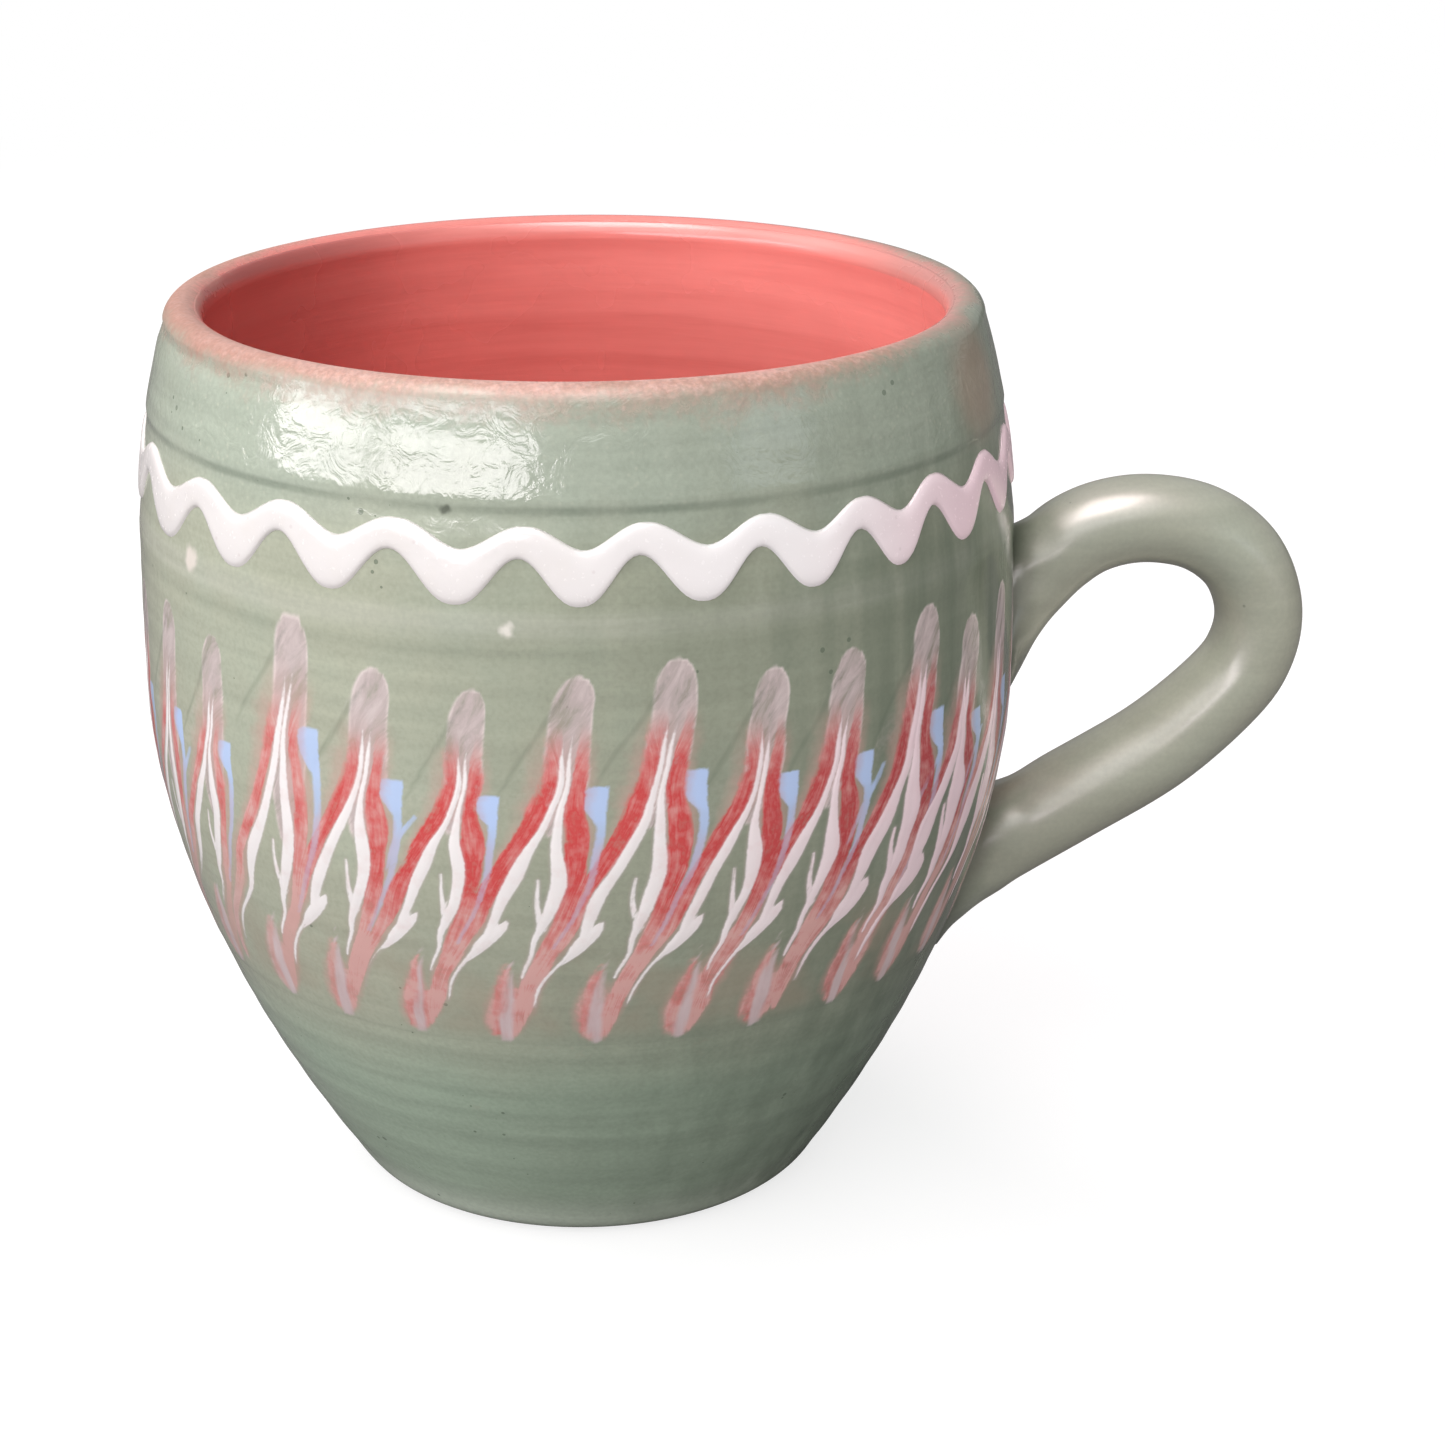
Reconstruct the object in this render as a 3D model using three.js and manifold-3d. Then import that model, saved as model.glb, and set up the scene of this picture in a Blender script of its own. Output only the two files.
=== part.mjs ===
// Barrel mug: a wheel-thrown earthenware mug with a pulled handle and slip decoration.
// Millimetres, +Z up. The origin is the middle of the base, and the handle reaches along +X.
import * as THREE from 'three';
import { mergeVertices } from 'three/addons/utils/BufferGeometryUtils.js';
import Module from 'manifold-3d';

// Thrown body
const HEIGHT = 95; // table to the top of the lip
const BELLY_RADIUS = 45.2; // outside, at the widest ring
const BELLY_HEIGHT = 55.2; // the widest ring above the table
const FOOT_RADIUS = 24.7; // outside, where the wall would run into the table
const FOOT_CURVE = 1.78; // how late the wall turns from foot to belly
const LIP_RADIUS = 41.5; // outside of the lip
const SHOULDER_CURVE = 2.92; // how late the shoulder turns in to the lip
const LIP_THICKNESS = 4; // the lip is a full round of this thickness
const WALL_AT_FLOOR = 5.4; // level thickness of the wall where the floor begins
const FLOOR_THICKNESS = 6;
const HEEL_ROUND = 2; // edge between base and wall, outside
const FLOOR_ROUND = 9; // corner between floor and wall, inside

// Turned lines on the outside
const GROOVE_BELOW_LIP = 10.6; // incised line, from the top of the lip
const GROOVE_DEPTH = 0.5;
const GROOVE_WIDTH = 1.6;
const RIDGE_BELOW_WAVE = 2.3; // soft ring left by the finger under the wave
const RIDGE_PROUD = 0.3;
const RIDGE_WIDTH = 3.2;

// Coral slip poured over the inside
const LINING_THICKNESS = 0.6;
const LINING_BELOW_LIP = 3.2; // bare clay between the top of the lip and the edge of the slip

// White slip trailed in a wave under the groove
const WAVE_COUNT = 24;
const WAVE_BELOW_GROOVE = 1.4; // from the groove to the top edge of a crest
const WAVE_DIP = 2.4; // top edge, from a crest down to a valley
const WAVE_LINE = 3; // height of the line at a crest
const WAVE_POOL = 5.1; // height of the line in a valley, where the slip gathers
const WAVE_RELIEF = 0.7; // thickness at the middle of the line
const WAVE_EDGE = 0.25; // thickness at its two edges

// Pulled handle: heights are of its centre line, reaches are from the belly
const UPPER_ROOT_HEIGHT = 61.5;
const NECK_REACH = 7.5;
const NECK_RISE = 6.5; // this rise and the next two are above the upper root
const CROWN_REACH = 14.3;
const CROWN_RISE = 8.5;
const SHOULDER_REACH = 22.9;
const SHOULDER_RISE = 6;
const BEND_REACH = 27.4;
const BEND_DROP = 2.5; // below the upper root
const LOWER_ROOT_HEIGHT = 32.4;
const ELBOW_REACH = 23.8;
const ELBOW_RISE = 18; // this rise and the next are above the lower root
const LEG_REACH = 9.3;
const LEG_RISE = 7.5;
const HANDLE_THICKNESS = 9.2; // across the loop
const HANDLE_WIDTH = 10.4; // along the wall
const HANDLE_SWELL = 0.9; // extra thickness and width at the lower root

// Soft clay coils worked round the two roots and wiped down the wall
const COIL_LENGTH = 6; // how far each coil stands off the wall
const COIL_EDGE = 0.6; // thickness where it feathers out on the handle
const COIL_FADE = 2.6; // how fast it thins away from the wall
const COIL_SPREAD = 0.9; // extra thickness all round where it meets the wall
const UPPER_COIL_DROP = 3.2; // further thickness under the root, wiped down the wall
const LOWER_COIL_DROP = 0.5;

// Fits and facets
const CLAY_GAP = 0.3; // clearance between pieces of clay, and under the slips
const ROUND_SEGMENTS = 56;
const WALL_STEP = 7.5; // height of one facet of the wall
const ARC_STEPS = 3;
const HANDLE_STEPS = 40;
const HANDLE_SIDES = 14;
const COIL_STEPS = 8;
const COIL_SIDES = 24;
const WAVE_STEPS = 8;
const SOLVE_STEPS = 40;

const CLAY_GREEN = 0x8f9d80;
const CORAL = 0xc9573f;
const WHITE_SLIP = 0xe6dfd0;

const wasm = await Module();
wasm.setup();

const LIP_ROUND = LIP_THICKNESS / 2;
const LIP_BASE = HEIGHT - LIP_ROUND;
const GROOVE_HEIGHT = HEIGHT - GROOVE_BELOW_LIP;
const WAVE_CREST = GROOVE_HEIGHT - WAVE_BELOW_GROOVE;
const WAVE_VALLEY = WAVE_CREST - WAVE_DIP;
const WAVE_TROUGH = WAVE_VALLEY - WAVE_POOL;
const RIDGE_HEIGHT = WAVE_TROUGH - RIDGE_BELOW_WAVE;

// A smooth hump of the given width, 1 at its middle, for the turned lines
function hump(distance, width) {
  return Math.exp(-((2 * distance / width) ** 2));
}

// Outside radius of the plain barrel at a height
function barrelRadius(z) {
  if (z < BELLY_HEIGHT) {
    const down = (BELLY_HEIGHT - z) / BELLY_HEIGHT;
    return BELLY_RADIUS - (BELLY_RADIUS - FOOT_RADIUS) * down ** FOOT_CURVE;
  }
  const up = (z - BELLY_HEIGHT) / (LIP_BASE - BELLY_HEIGHT);
  return BELLY_RADIUS - (BELLY_RADIUS - LIP_RADIUS) * up ** SHOULDER_CURVE;
}

// Outside radius with the groove and the ridge
function outerRadius(z) {
  const groove = GROOVE_DEPTH * hump(z - GROOVE_HEIGHT, GROOVE_WIDTH);
  const ridge = RIDGE_PROUD * hump(z - RIDGE_HEIGHT, RIDGE_WIDTH);
  return barrelRadius(z) - groove + ridge;
}

// Inside radius of the clay: the wall grows thicker from the lip down to the floor
function innerRadius(z) {
  const down = (LIP_BASE - z) / (LIP_BASE - FLOOR_THICKNESS);
  const wall = LIP_THICKNESS + (WALL_AT_FLOOR - LIP_THICKNESS) * down;
  return barrelRadius(z) - wall;
}

// Heights from low to high in even steps, with closer ones where a turned line needs them
function wallHeights(low, high, lines = []) {
  const steps = Math.max(2, Math.ceil((high - low) / WALL_STEP));
  const near = (z) => lines.some((line) => Math.abs(z - line.height) < line.width);
  const even = Array.from({ length: steps + 1 }, (_, i) => low + (high - low) * i / steps);
  const kept = even.filter((z, i) => i === 0 || i === steps || !near(z));
  const fine = lines.flatMap(({ height, width }) => [-1, -0.4, 0, 0.4, 1].map((k) => height + k * width));
  return [...kept, ...fine].filter((z) => z >= low && z <= high).sort((a, b) => a - b);
}

// Rounded corner between a level floor and a leaning wall, from the floor up to the wall
function cornerArc(radiusAt, floor, round) {
  const slope = (radiusAt(floor + round) - radiusAt(floor)) / round;
  const lean = Math.atan(slope);
  const centre = radiusAt(floor + round * (1 - Math.sin(lean))) - round * Math.cos(lean);
  return Array.from({ length: ARC_STEPS + 1 }, (_, i) => {
    const angle = -Math.PI / 2 + (Math.PI / 2 - lean) * i / ARC_STEPS;
    return new THREE.Vector2(centre + round * Math.cos(angle), floor + round * (1 + Math.sin(angle)));
  });
}

// Floor corner and wall of one surface, from the axis up to a height
function surfaceProfile(radiusAt, floor, round, top, lines) {
  const corner = cornerArc(radiusAt, floor, round);
  const heights = wallHeights(corner.at(-1).y, top, lines).slice(1);
  const wall = heights.map((z) => new THREE.Vector2(radiusAt(z), z));
  return [new THREE.Vector2(0, floor), ...corner, ...wall];
}

// Revolves a closed profile round the mug's axis
function revolve(profile) {
  const geometry = new THREE.LatheGeometry(profile, ROUND_SEGMENTS);
  return geometry.rotateX(Math.PI / 2);
}

// Skins a row of rings of points. A loop joins its last ring to its first, and a rod has flat ends
function loft(rings, isLoop) {
  const sides = rings[0].length;
  const points = rings.flat();
  const triangles = [];
  const at = (ring, side) => (ring % rings.length) * sides + side % sides;
  for (let ring = 0; ring < rings.length - (isLoop ? 0 : 1); ring += 1) {
    for (let side = 0; side < sides; side += 1) {
      const [a, b] = [at(ring, side), at(ring, side + 1)];
      const [c, d] = [at(ring + 1, side), at(ring + 1, side + 1)];
      triangles.push(a, b, d, a, d, c);
    }
  }
  if (!isLoop) {
    for (let side = 1; side < sides - 1; side += 1) {
      triangles.push(at(0, 0), at(0, side + 1), at(0, side));
      const last = rings.length - 1;
      triangles.push(at(last, 0), at(last, side), at(last, side + 1));
    }
  }
  const geometry = new THREE.BufferGeometry().setFromPoints(points);
  return geometry.setIndex(triangles);
}

// Closed mesh to a solid that can be cut, with shared corners merged and empty triangles dropped
function solidFrom(geometry) {
  const bare = geometry.clone();
  bare.deleteAttribute('normal');
  bare.deleteAttribute('uv');
  const merged = mergeVertices(bare);
  const corners = Array.from(merged.index.array);
  const kept = [];
  for (let i = 0; i < corners.length; i += 3) {
    const [a, b, c] = corners.slice(i, i + 3);
    if (a !== b && b !== c && c !== a) kept.push(a, b, c);
  }
  const vertProperties = merged.attributes.position.array;
  return new wasm.Manifold(new wasm.Mesh({ numProp: 3, vertProperties, triVerts: Uint32Array.from(kept) }));
}

function geometryFrom(solid) {
  const { vertProperties, triVerts } = solid.getMesh();
  const geometry = new THREE.BufferGeometry();
  geometry.setAttribute('position', new THREE.BufferAttribute(vertProperties, 3));
  return geometry.setIndex(new THREE.BufferAttribute(triVerts, 1));
}

// Thrown body: base, heel, wall with its turned lines, round lip and inside, in one profile
function thrownBody() {
  const lines = [
    { height: GROOVE_HEIGHT, width: GROOVE_WIDTH },
    { height: RIDGE_HEIGHT, width: RIDGE_WIDTH },
  ];
  const outside = surfaceProfile(outerRadius, 0, HEEL_ROUND, LIP_BASE, lines);
  const inside = surfaceProfile(innerRadius, FLOOR_THICKNESS, FLOOR_ROUND, LIP_BASE);
  const lip = Array.from({ length: 2 * ARC_STEPS - 1 }, (_, i) => {
    const angle = Math.PI * (i + 1) / (2 * ARC_STEPS);
    const radius = LIP_RADIUS - LIP_ROUND + LIP_ROUND * Math.cos(angle);
    return new THREE.Vector2(radius, LIP_BASE + LIP_ROUND * Math.sin(angle));
  });
  return revolve([...outside, ...lip, ...inside.reverse()]);
}

// Coral lining: a thin bowl of slip that follows the inside of the clay
function coralLining() {
  const top = HEIGHT - LINING_BELOW_LIP;
  const face = CLAY_GAP + LINING_THICKNESS;
  const layer = (depth) => surfaceProfile(
    (z) => innerRadius(z) - depth,
    FLOOR_THICKNESS + depth,
    FLOOR_ROUND - depth,
    top,
  );
  return revolve([...layer(CLAY_GAP), ...layer(face).reverse()]);
}

// White wave: one line of slip, round crested above and drooping between the crests
function whiteWave() {
  const columns = WAVE_COUNT * WAVE_STEPS;
  const rings = Array.from({ length: columns }, (_, i) => {
    const angle = 2 * Math.PI * i / columns;
    const swing = Math.abs(Math.cos(WAVE_COUNT * angle / 2));
    const high = WAVE_VALLEY + (WAVE_CREST - WAVE_VALLEY) * swing;
    const low = WAVE_TROUGH + (WAVE_CREST - WAVE_LINE - WAVE_TROUGH) * swing ** 2;
    const middle = (high + low) / 2;
    const section = [
      [high, 0],
      [high, WAVE_EDGE],
      [middle, WAVE_RELIEF],
      [low, WAVE_EDGE],
      [low, 0],
    ];
    return section.map(([z, proud]) => {
      const radius = outerRadius(z) + CLAY_GAP + proud;
      return new THREE.Vector3(radius * Math.cos(angle), radius * Math.sin(angle), z);
    });
  });
  return loft(rings, true);
}

// Centre line of the handle, from inside the upper root round the loop to inside the lower root
function handlePath() {
  const out = (reach, z) => new THREE.Vector3(BELLY_RADIUS + reach, 0, z);
  const inWall = (z, depth) => new THREE.Vector3(barrelRadius(z) - depth, 0, z - depth);
  return new THREE.CatmullRomCurve3([
    inWall(UPPER_ROOT_HEIGHT, LIP_THICKNESS),
    inWall(UPPER_ROOT_HEIGHT, 0),
    out(NECK_REACH, UPPER_ROOT_HEIGHT + NECK_RISE),
    out(CROWN_REACH, UPPER_ROOT_HEIGHT + CROWN_RISE),
    out(SHOULDER_REACH, UPPER_ROOT_HEIGHT + SHOULDER_RISE),
    out(BEND_REACH, UPPER_ROOT_HEIGHT - BEND_DROP),
    out(ELBOW_REACH, LOWER_ROOT_HEIGHT + ELBOW_RISE),
    out(LEG_REACH, LOWER_ROOT_HEIGHT + LEG_RISE),
    inWall(LOWER_ROOT_HEIGHT, 0),
    inWall(LOWER_ROOT_HEIGHT, LIP_THICKNESS),
  ]);
}

// Oval ring square to the handle's path at a share of its length, with room to spare all round.
// A drop thickens the side towards the middle of the loop, and a negative one the side away from it
function handleRing(path, share, sides, spare, drop = 0) {
  const centre = path.getPointAt(share);
  const tangent = path.getTangentAt(share);
  const across = new THREE.Vector3(0, 1, 0);
  const inward = new THREE.Vector3().crossVectors(across, tangent);
  const swell = HANDLE_SWELL * share ** 2;
  const thick = (HANDLE_THICKNESS + swell) / 2 + spare;
  const wide = (HANDLE_WIDTH + swell) / 2 + spare;
  return Array.from({ length: sides }, (_, i) => {
    const angle = 2 * Math.PI * i / sides;
    const tail = drop * Math.max(0, Math.sign(drop) * Math.cos(angle)) ** 2;
    const point = centre.clone();
    point.addScaledVector(inward, thick * Math.cos(angle) + tail);
    return point.addScaledVector(across, wide * Math.sin(angle));
  });
}

function handleRod(path, spare) {
  const rings = Array.from({ length: HANDLE_STEPS + 1 }, (_, i) =>
    handleRing(path, i / HANDLE_STEPS, HANDLE_SIDES, spare));
  return solidFrom(loft(rings, false));
}

// The barrel filled solid, with clearance, to cut what is luted to its wall
function wallCutter() {
  const heights = wallHeights(0, LIP_BASE);
  const wall = heights.map((z) => new THREE.Vector2(barrelRadius(z) + CLAY_GAP, z));
  return solidFrom(revolve([new THREE.Vector2(0, 0), ...wall, new THREE.Vector2(0, LIP_BASE)]));
}

// Where a rising measure passes zero between two values
function solve(measure, low, high) {
  let [from, to] = [low, high];
  for (let i = 0; i < SOLVE_STEPS; i += 1) {
    const middle = (from + to) / 2;
    if (measure(middle) < 0) from = middle;
    else to = middle;
  }
  return (from + to) / 2;
}

// Luting coil: its rings lie along the wall, flare towards it, and are wiped down it under the root
function lutingCoil(path, isUpper) {
  const toWall = (point) => Math.hypot(point.x, point.y) - barrelRadius(point.z);
  const shareOf = (along) => (isUpper ? along : 1 - along);
  const drop = isUpper ? UPPER_COIL_DROP : -LOWER_COIL_DROP;
  const slide = 2 * HANDLE_WIDTH;
  const rings = Array.from({ length: COIL_STEPS + 1 }, (_, i) => {
    const off = (COIL_LENGTH + CLAY_GAP) * i / COIL_STEPS - CLAY_GAP;
    const flare = Math.exp(-off / COIL_FADE);
    const share = shareOf(solve((along) => toWall(path.getPointAt(shareOf(along))) - off, 0, 0.5));
    const spare = CLAY_GAP + COIL_EDGE + COIL_SPREAD * flare;
    const away = path.getTangentAt(share).multiplyScalar(isUpper ? 1 : -1);
    return handleRing(path, share, COIL_SIDES, spare, drop * flare).map((point) => {
      const moved = (by) => point.clone().addScaledVector(away, by);
      return moved(solve((by) => toWall(moved(by)) - off, -slide, slide));
    });
  });
  return solidFrom(loft(isUpper ? rings : rings.reverse(), false));
}

function clay(color) {
  return new THREE.MeshStandardMaterial({ color, roughness: 0.25, metalness: 0 });
}

function piece(name, geometry, color) {
  const mesh = new THREE.Mesh(geometry, clay(color));
  mesh.name = name;
  return mesh;
}

const mug = new THREE.Group();
const path = handlePath();
const wall = wallCutter();
const handleRoom = handleRod(path, CLAY_GAP);
const upperCoil = lutingCoil(path, true).subtract(wall).subtract(handleRoom);
const lowerCoil = lutingCoil(path, false).subtract(wall).subtract(handleRoom);

mug.add(piece('thrown_body', thrownBody(), CLAY_GREEN));
mug.add(piece('coral_lining', coralLining(), CORAL));
mug.add(piece('white_wave_line', whiteWave(), WHITE_SLIP));
mug.add(piece('pulled_handle', geometryFrom(handleRod(path, 0).subtract(wall)), CLAY_GREEN));
mug.add(piece('upper_luting_coil', geometryFrom(upperCoil), CLAY_GREEN));
mug.add(piece('lower_luting_coil', geometryFrom(lowerCoil), CLAY_GREEN));

export default mug;
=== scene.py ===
"""Hand-thrown barrel mug in slipware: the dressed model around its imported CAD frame."""

import math

import bmesh
import bpy
import numpy as np
from bpy.props import FloatProperty, FloatVectorProperty, IntProperty, PointerProperty
from bpy.types import Node, NodeSocket, Operator, Panel, PropertyGroup
from mathutils import Matrix, Vector


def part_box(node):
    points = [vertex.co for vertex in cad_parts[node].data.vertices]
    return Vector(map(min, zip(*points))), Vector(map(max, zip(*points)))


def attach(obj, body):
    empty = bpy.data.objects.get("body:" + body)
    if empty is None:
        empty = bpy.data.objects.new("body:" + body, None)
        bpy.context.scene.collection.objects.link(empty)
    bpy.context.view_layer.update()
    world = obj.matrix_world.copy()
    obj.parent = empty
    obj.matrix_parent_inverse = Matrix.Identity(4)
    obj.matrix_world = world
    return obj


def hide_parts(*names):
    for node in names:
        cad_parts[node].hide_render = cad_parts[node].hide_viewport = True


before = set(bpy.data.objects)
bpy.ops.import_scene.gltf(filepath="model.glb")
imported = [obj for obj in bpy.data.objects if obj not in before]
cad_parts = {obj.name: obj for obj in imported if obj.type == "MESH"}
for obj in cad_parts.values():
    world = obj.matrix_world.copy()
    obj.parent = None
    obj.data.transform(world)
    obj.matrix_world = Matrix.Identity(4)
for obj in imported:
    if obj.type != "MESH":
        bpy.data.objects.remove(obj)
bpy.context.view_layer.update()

bl_info = {
    "name": "Barrel mug",
    "version": (1, 0, 0),
    "blender": (4, 5, 0),
    "location": "3D View > Sidebar > Mug",
    "description": "Builds a hand-thrown slipware mug with its feathered band and pulled handle",
    "category": "Object",
}

MM = 0.001
BODY = "root"
BAKE_MAP = "OFBake"
BODY_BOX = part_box("thrown_body")
WAVE_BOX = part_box("white_wave_line")
HEIGHT_MM = BODY_BOX[1][2] / MM
BELLY_MM = BODY_BOX[1][1] / MM
WAVE_LOW_MM = WAVE_BOX[0][2] / MM
WAVE_HIGH_MM = WAVE_BOX[1][2] / MM


# Sizes and colours

def length(name, description, millimetres):
    return FloatProperty(
        name=name, description=description, default=millimetres * MM, unit="LENGTH", precision=5
    )


def number(name, description, value):
    return FloatProperty(name=name, description=description, default=value)


def linear(code):
    """An sRGB hex colour as linear red, green, blue and alpha."""
    shares = [int(code[i:i + 2], 16) / 255 for i in (1, 3, 5)]
    return [c / 12.92 if c <= 0.04045 else ((c + 0.055) / 1.055) ** 2.4 for c in shares] + [1.0]


def colour(name, description, code):
    return FloatVectorProperty(
        name=name, description=description, default=linear(code), subtype="COLOR", size=4, min=0, max=1
    )


class MugBodySizes(PropertyGroup):
    height: length("Height", "Top of the lip above the table", HEIGHT_MM)
    belly_radius: length("Belly radius", "Radius at the widest part of the barrel", BELLY_MM)
    belly_height: length("Belly height", "Height of the widest part", 55.2)
    foot_radius: length("Foot radius", "Radius of the wall where it would meet the table", 24.7)
    lip_radius: length("Lip radius", "Outside radius of the wall just under the lip", 41.5)
    lip_thickness: length("Lip thickness", "Thickness of the wall at the lip", 4.0)
    wall_at_floor: length("Wall at floor", "Thickness of the wall at the bottom of the inside", 5.4)
    floor_thickness: length("Floor thickness", "Thickness of the clay under the drink", 6.0)
    heel_round: length("Heel round", "Radius of the rounded edge at the foot", 4.0)
    floor_round: length("Floor round", "Radius of the curve between floor and wall inside", 9.0)
    groove_below_lip: length("Groove below lip", "Distance from the lip down to the turned groove", 10.6)
    groove_depth: length("Groove depth", "How far the collar over the turned groove stands out", 0.25)
    groove_width: length("Groove width", "Height of the step at the turned groove", 1.3)
    collar_fade: length("Collar fade", "Distance over which the collar runs out towards the lip", 6.0)
    ridge_height: length("Ridge height", "Height of the soft ridge under the wave", 73.2)
    ridge_proud: length("Ridge proud", "How far the soft ridge stands out", 0.16)
    ridge_width: length("Ridge width", "Width of the soft ridge", 4.6)
    ring_pitch: length("Throwing ring pitch", "Distance between the potter's finger rings", 4.4)
    ring_depth: length("Throwing ring depth", "Depth of the finger rings near the foot", 0.035)
    lining_thickness: length("Lining thickness", "Thickness of the coral slip inside", 0.6)
    foot_curve: number("Foot curve", "How late the wall turns in to the foot", 1.78)
    lip_curve: number("Lip curve", "How late the wall turns in to the lip", 2.92)


class MugWaveSizes(PropertyGroup):
    count: IntProperty(name="Waves", description="Waves round the mug", default=24)
    crest: length("Crest", "Top edge of the line at a crest", WAVE_HIGH_MM)
    valley: length("Valley", "Top edge of the line at a trough", 80.6)
    arch: length("Arch", "Bottom edge of the line at a crest", 80.0)
    trough: length("Trough", "Bottom edge of the line at a trough", WAVE_LOW_MM)
    relief: length("Relief", "How far the trailed slip stands out", 0.4)


class MugHandleSizes(PropertyGroup):
    thickness: length("Thickness", "Thickness of the handle in the plane of its loop", 9.2)
    width: length("Width", "Width of the handle across its loop", 10.4)
    fillet: length("Fillet", "How far the luted clay spreads round the roots", 0.7)
    fillet_reach: length("Fillet reach", "How fast that spread fades away from the wall", 1.2)
    upper_tail: length("Upper tail", "How far the clay is wiped down under the upper root", 3.6)
    lower_tail: length("Lower tail", "How far the clay is wiped down under the lower root", 1.6)
    tail_reach: length("Tail reach", "How fast the wiped tail fades away from the wall", 2.6)
    swell: number("Swell", "Extra thickness of the lower limb, as a share", 0.09)


class MugBandSizes(PropertyGroup):
    top: length("Band top", "Top edge of the feathered band", 74.0)
    bottom: length("Band bottom", "Bottom edge of the feathered band", 28.6)
    coat: length("Slip coat", "Thickness of the band over the wall", 0.06)
    trail_relief: length("Trail relief", "How far the white trails stand out", 0.06)
    units: IntProperty(name="Feathers", description="Feathers round the mug", default=30)


class MugColours(PropertyGroup):
    sage: colour("Sage", "Green slip on the belly", "#b4b9a4")
    sage_cool: colour("Cool sage", "Green slip near the lip", "#b2bcab")
    sage_foot: colour("Foot sage", "Green slip near the foot, where it lies thick", "#aabda7")
    # Also used for painted shade in the groove, under the ridge and towards the handle
    sage_dark: colour("Dark sage", "Green slip where the glaze pools", "#596957")
    clay: colour("Fired clay", "Worn lip and bare base", "#d7aa9e")
    coral: colour("Coral", "Slip inside", "#f8948c")
    coral_dark: colour("Dark coral", "Slip inside where it lies thin", "#d96f69")
    white: colour("White slip", "Trailed wave and pale ridge", "#efece9")
    red: colour("Red slip", "Feathers at their strongest", "#d94f4e")
    red_pale: colour("Thin red slip", "Feathers where they are drawn out", "#e2b2ab")
    blue: colour("Blue slip", "Dabs between the feathers", "#c0d8ff")
    smear: colour("Smear", "Mixed slips at the start and end of a feather", "#c9b9b8")


SETTINGS = {
    "mug_body": MugBodySizes,
    "mug_wave": MugWaveSizes,
    "mug_handle": MugHandleSizes,
    "mug_band": MugBandSizes,
    "mug_colours": MugColours,
}


# Wall of the barrel

def ease(x, low, high):
    t = np.clip((x - low) / (high - low), 0, 1)
    return t * t * (3 - 2 * t)


def lip_base():
    """Height of the centre of the round lip."""
    s = bpy.context.scene.mug_body
    return s.height - s.lip_thickness / 2


def barrel_radius(height):
    s = bpy.context.scene.mug_body
    below = np.clip((s.belly_height - height) / s.belly_height, 0, None)
    above = np.clip((height - s.belly_height) / (lip_base() - s.belly_height), 0, None)
    low = s.belly_radius - (s.belly_radius - s.foot_radius) * below**s.foot_curve
    return low - (s.belly_radius - s.lip_radius) * above**s.lip_curve


def hand_wobble(angle, height):
    """Small unevenness of a wall pulled up by hand."""
    slow = 0.13 * np.sin(2 * angle + 0.6) + 0.07 * np.sin(3 * angle + 2.1 + height / MM * 0.03)
    return MM * slow * np.clip(height / (20 * MM), 0, 1)


def throwing_rings(angle, height):
    """Finger rings that climb in a spiral and are strongest in the lowest 34 mm."""
    s = bpy.context.scene.mug_body
    turn = 2 * np.pi * height / s.ring_pitch + angle
    strength = 0.35 + 0.65 * np.clip(1 - height / (34 * MM), 0, 1)
    return s.ring_depth * strength * np.sin(turn + 0.8 * np.sin(height / MM * 0.31))


def wall_radius(angle, height):
    s = bpy.context.scene.mug_body
    above = height - (s.height - s.groove_below_lip)
    collar = s.groove_depth * ease(above, -s.groove_width / 2, s.groove_width / 2)
    collar = collar * np.exp(-np.clip(above, 0, None) / s.collar_fade)
    ridge = s.ridge_proud * np.exp(-((2 * (height - s.ridge_height) / s.ridge_width) ** 2))
    thrown = hand_wobble(angle, height) + throwing_rings(angle, height)
    return barrel_radius(height) + collar + ridge + thrown


def inner_radius(height):
    s = bpy.context.scene.mug_body
    share = (lip_base() - height) / (lip_base() - s.floor_thickness)
    return barrel_radius(height) - (s.lip_thickness + (s.wall_at_floor - s.lip_thickness) * share)


# Mesh tools

HIDDEN_SHARE = 0.2


def new_piece(name, mesh, *materials):
    piece = bpy.data.objects.new(name, mesh)
    bpy.context.scene.collection.objects.link(piece)
    for made in materials:
        mesh.materials.append(made)
    mesh.shade_smooth()
    return piece


def store(mesh, name, values, kind="FLOAT"):
    """Keeps a number or a vector with every point of a mesh."""
    layer = mesh.attributes.new(name, kind, "POINT")
    layer.data.foreach_set("vector" if kind == "FLOAT_VECTOR" else "value", np.ravel(values))


def ring_grid(rows, columns):
    """Quads of a grid whose columns run round a ring, with the column and row of each corner."""
    row, column = np.divmod(np.arange((rows - 1) * columns), columns)
    column = column[:, None] + (0, 1, 1, 0)
    row = row[:, None] + (0, 0, 1, 1)
    return (row * columns + column % columns).tolist(), column, row


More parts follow.
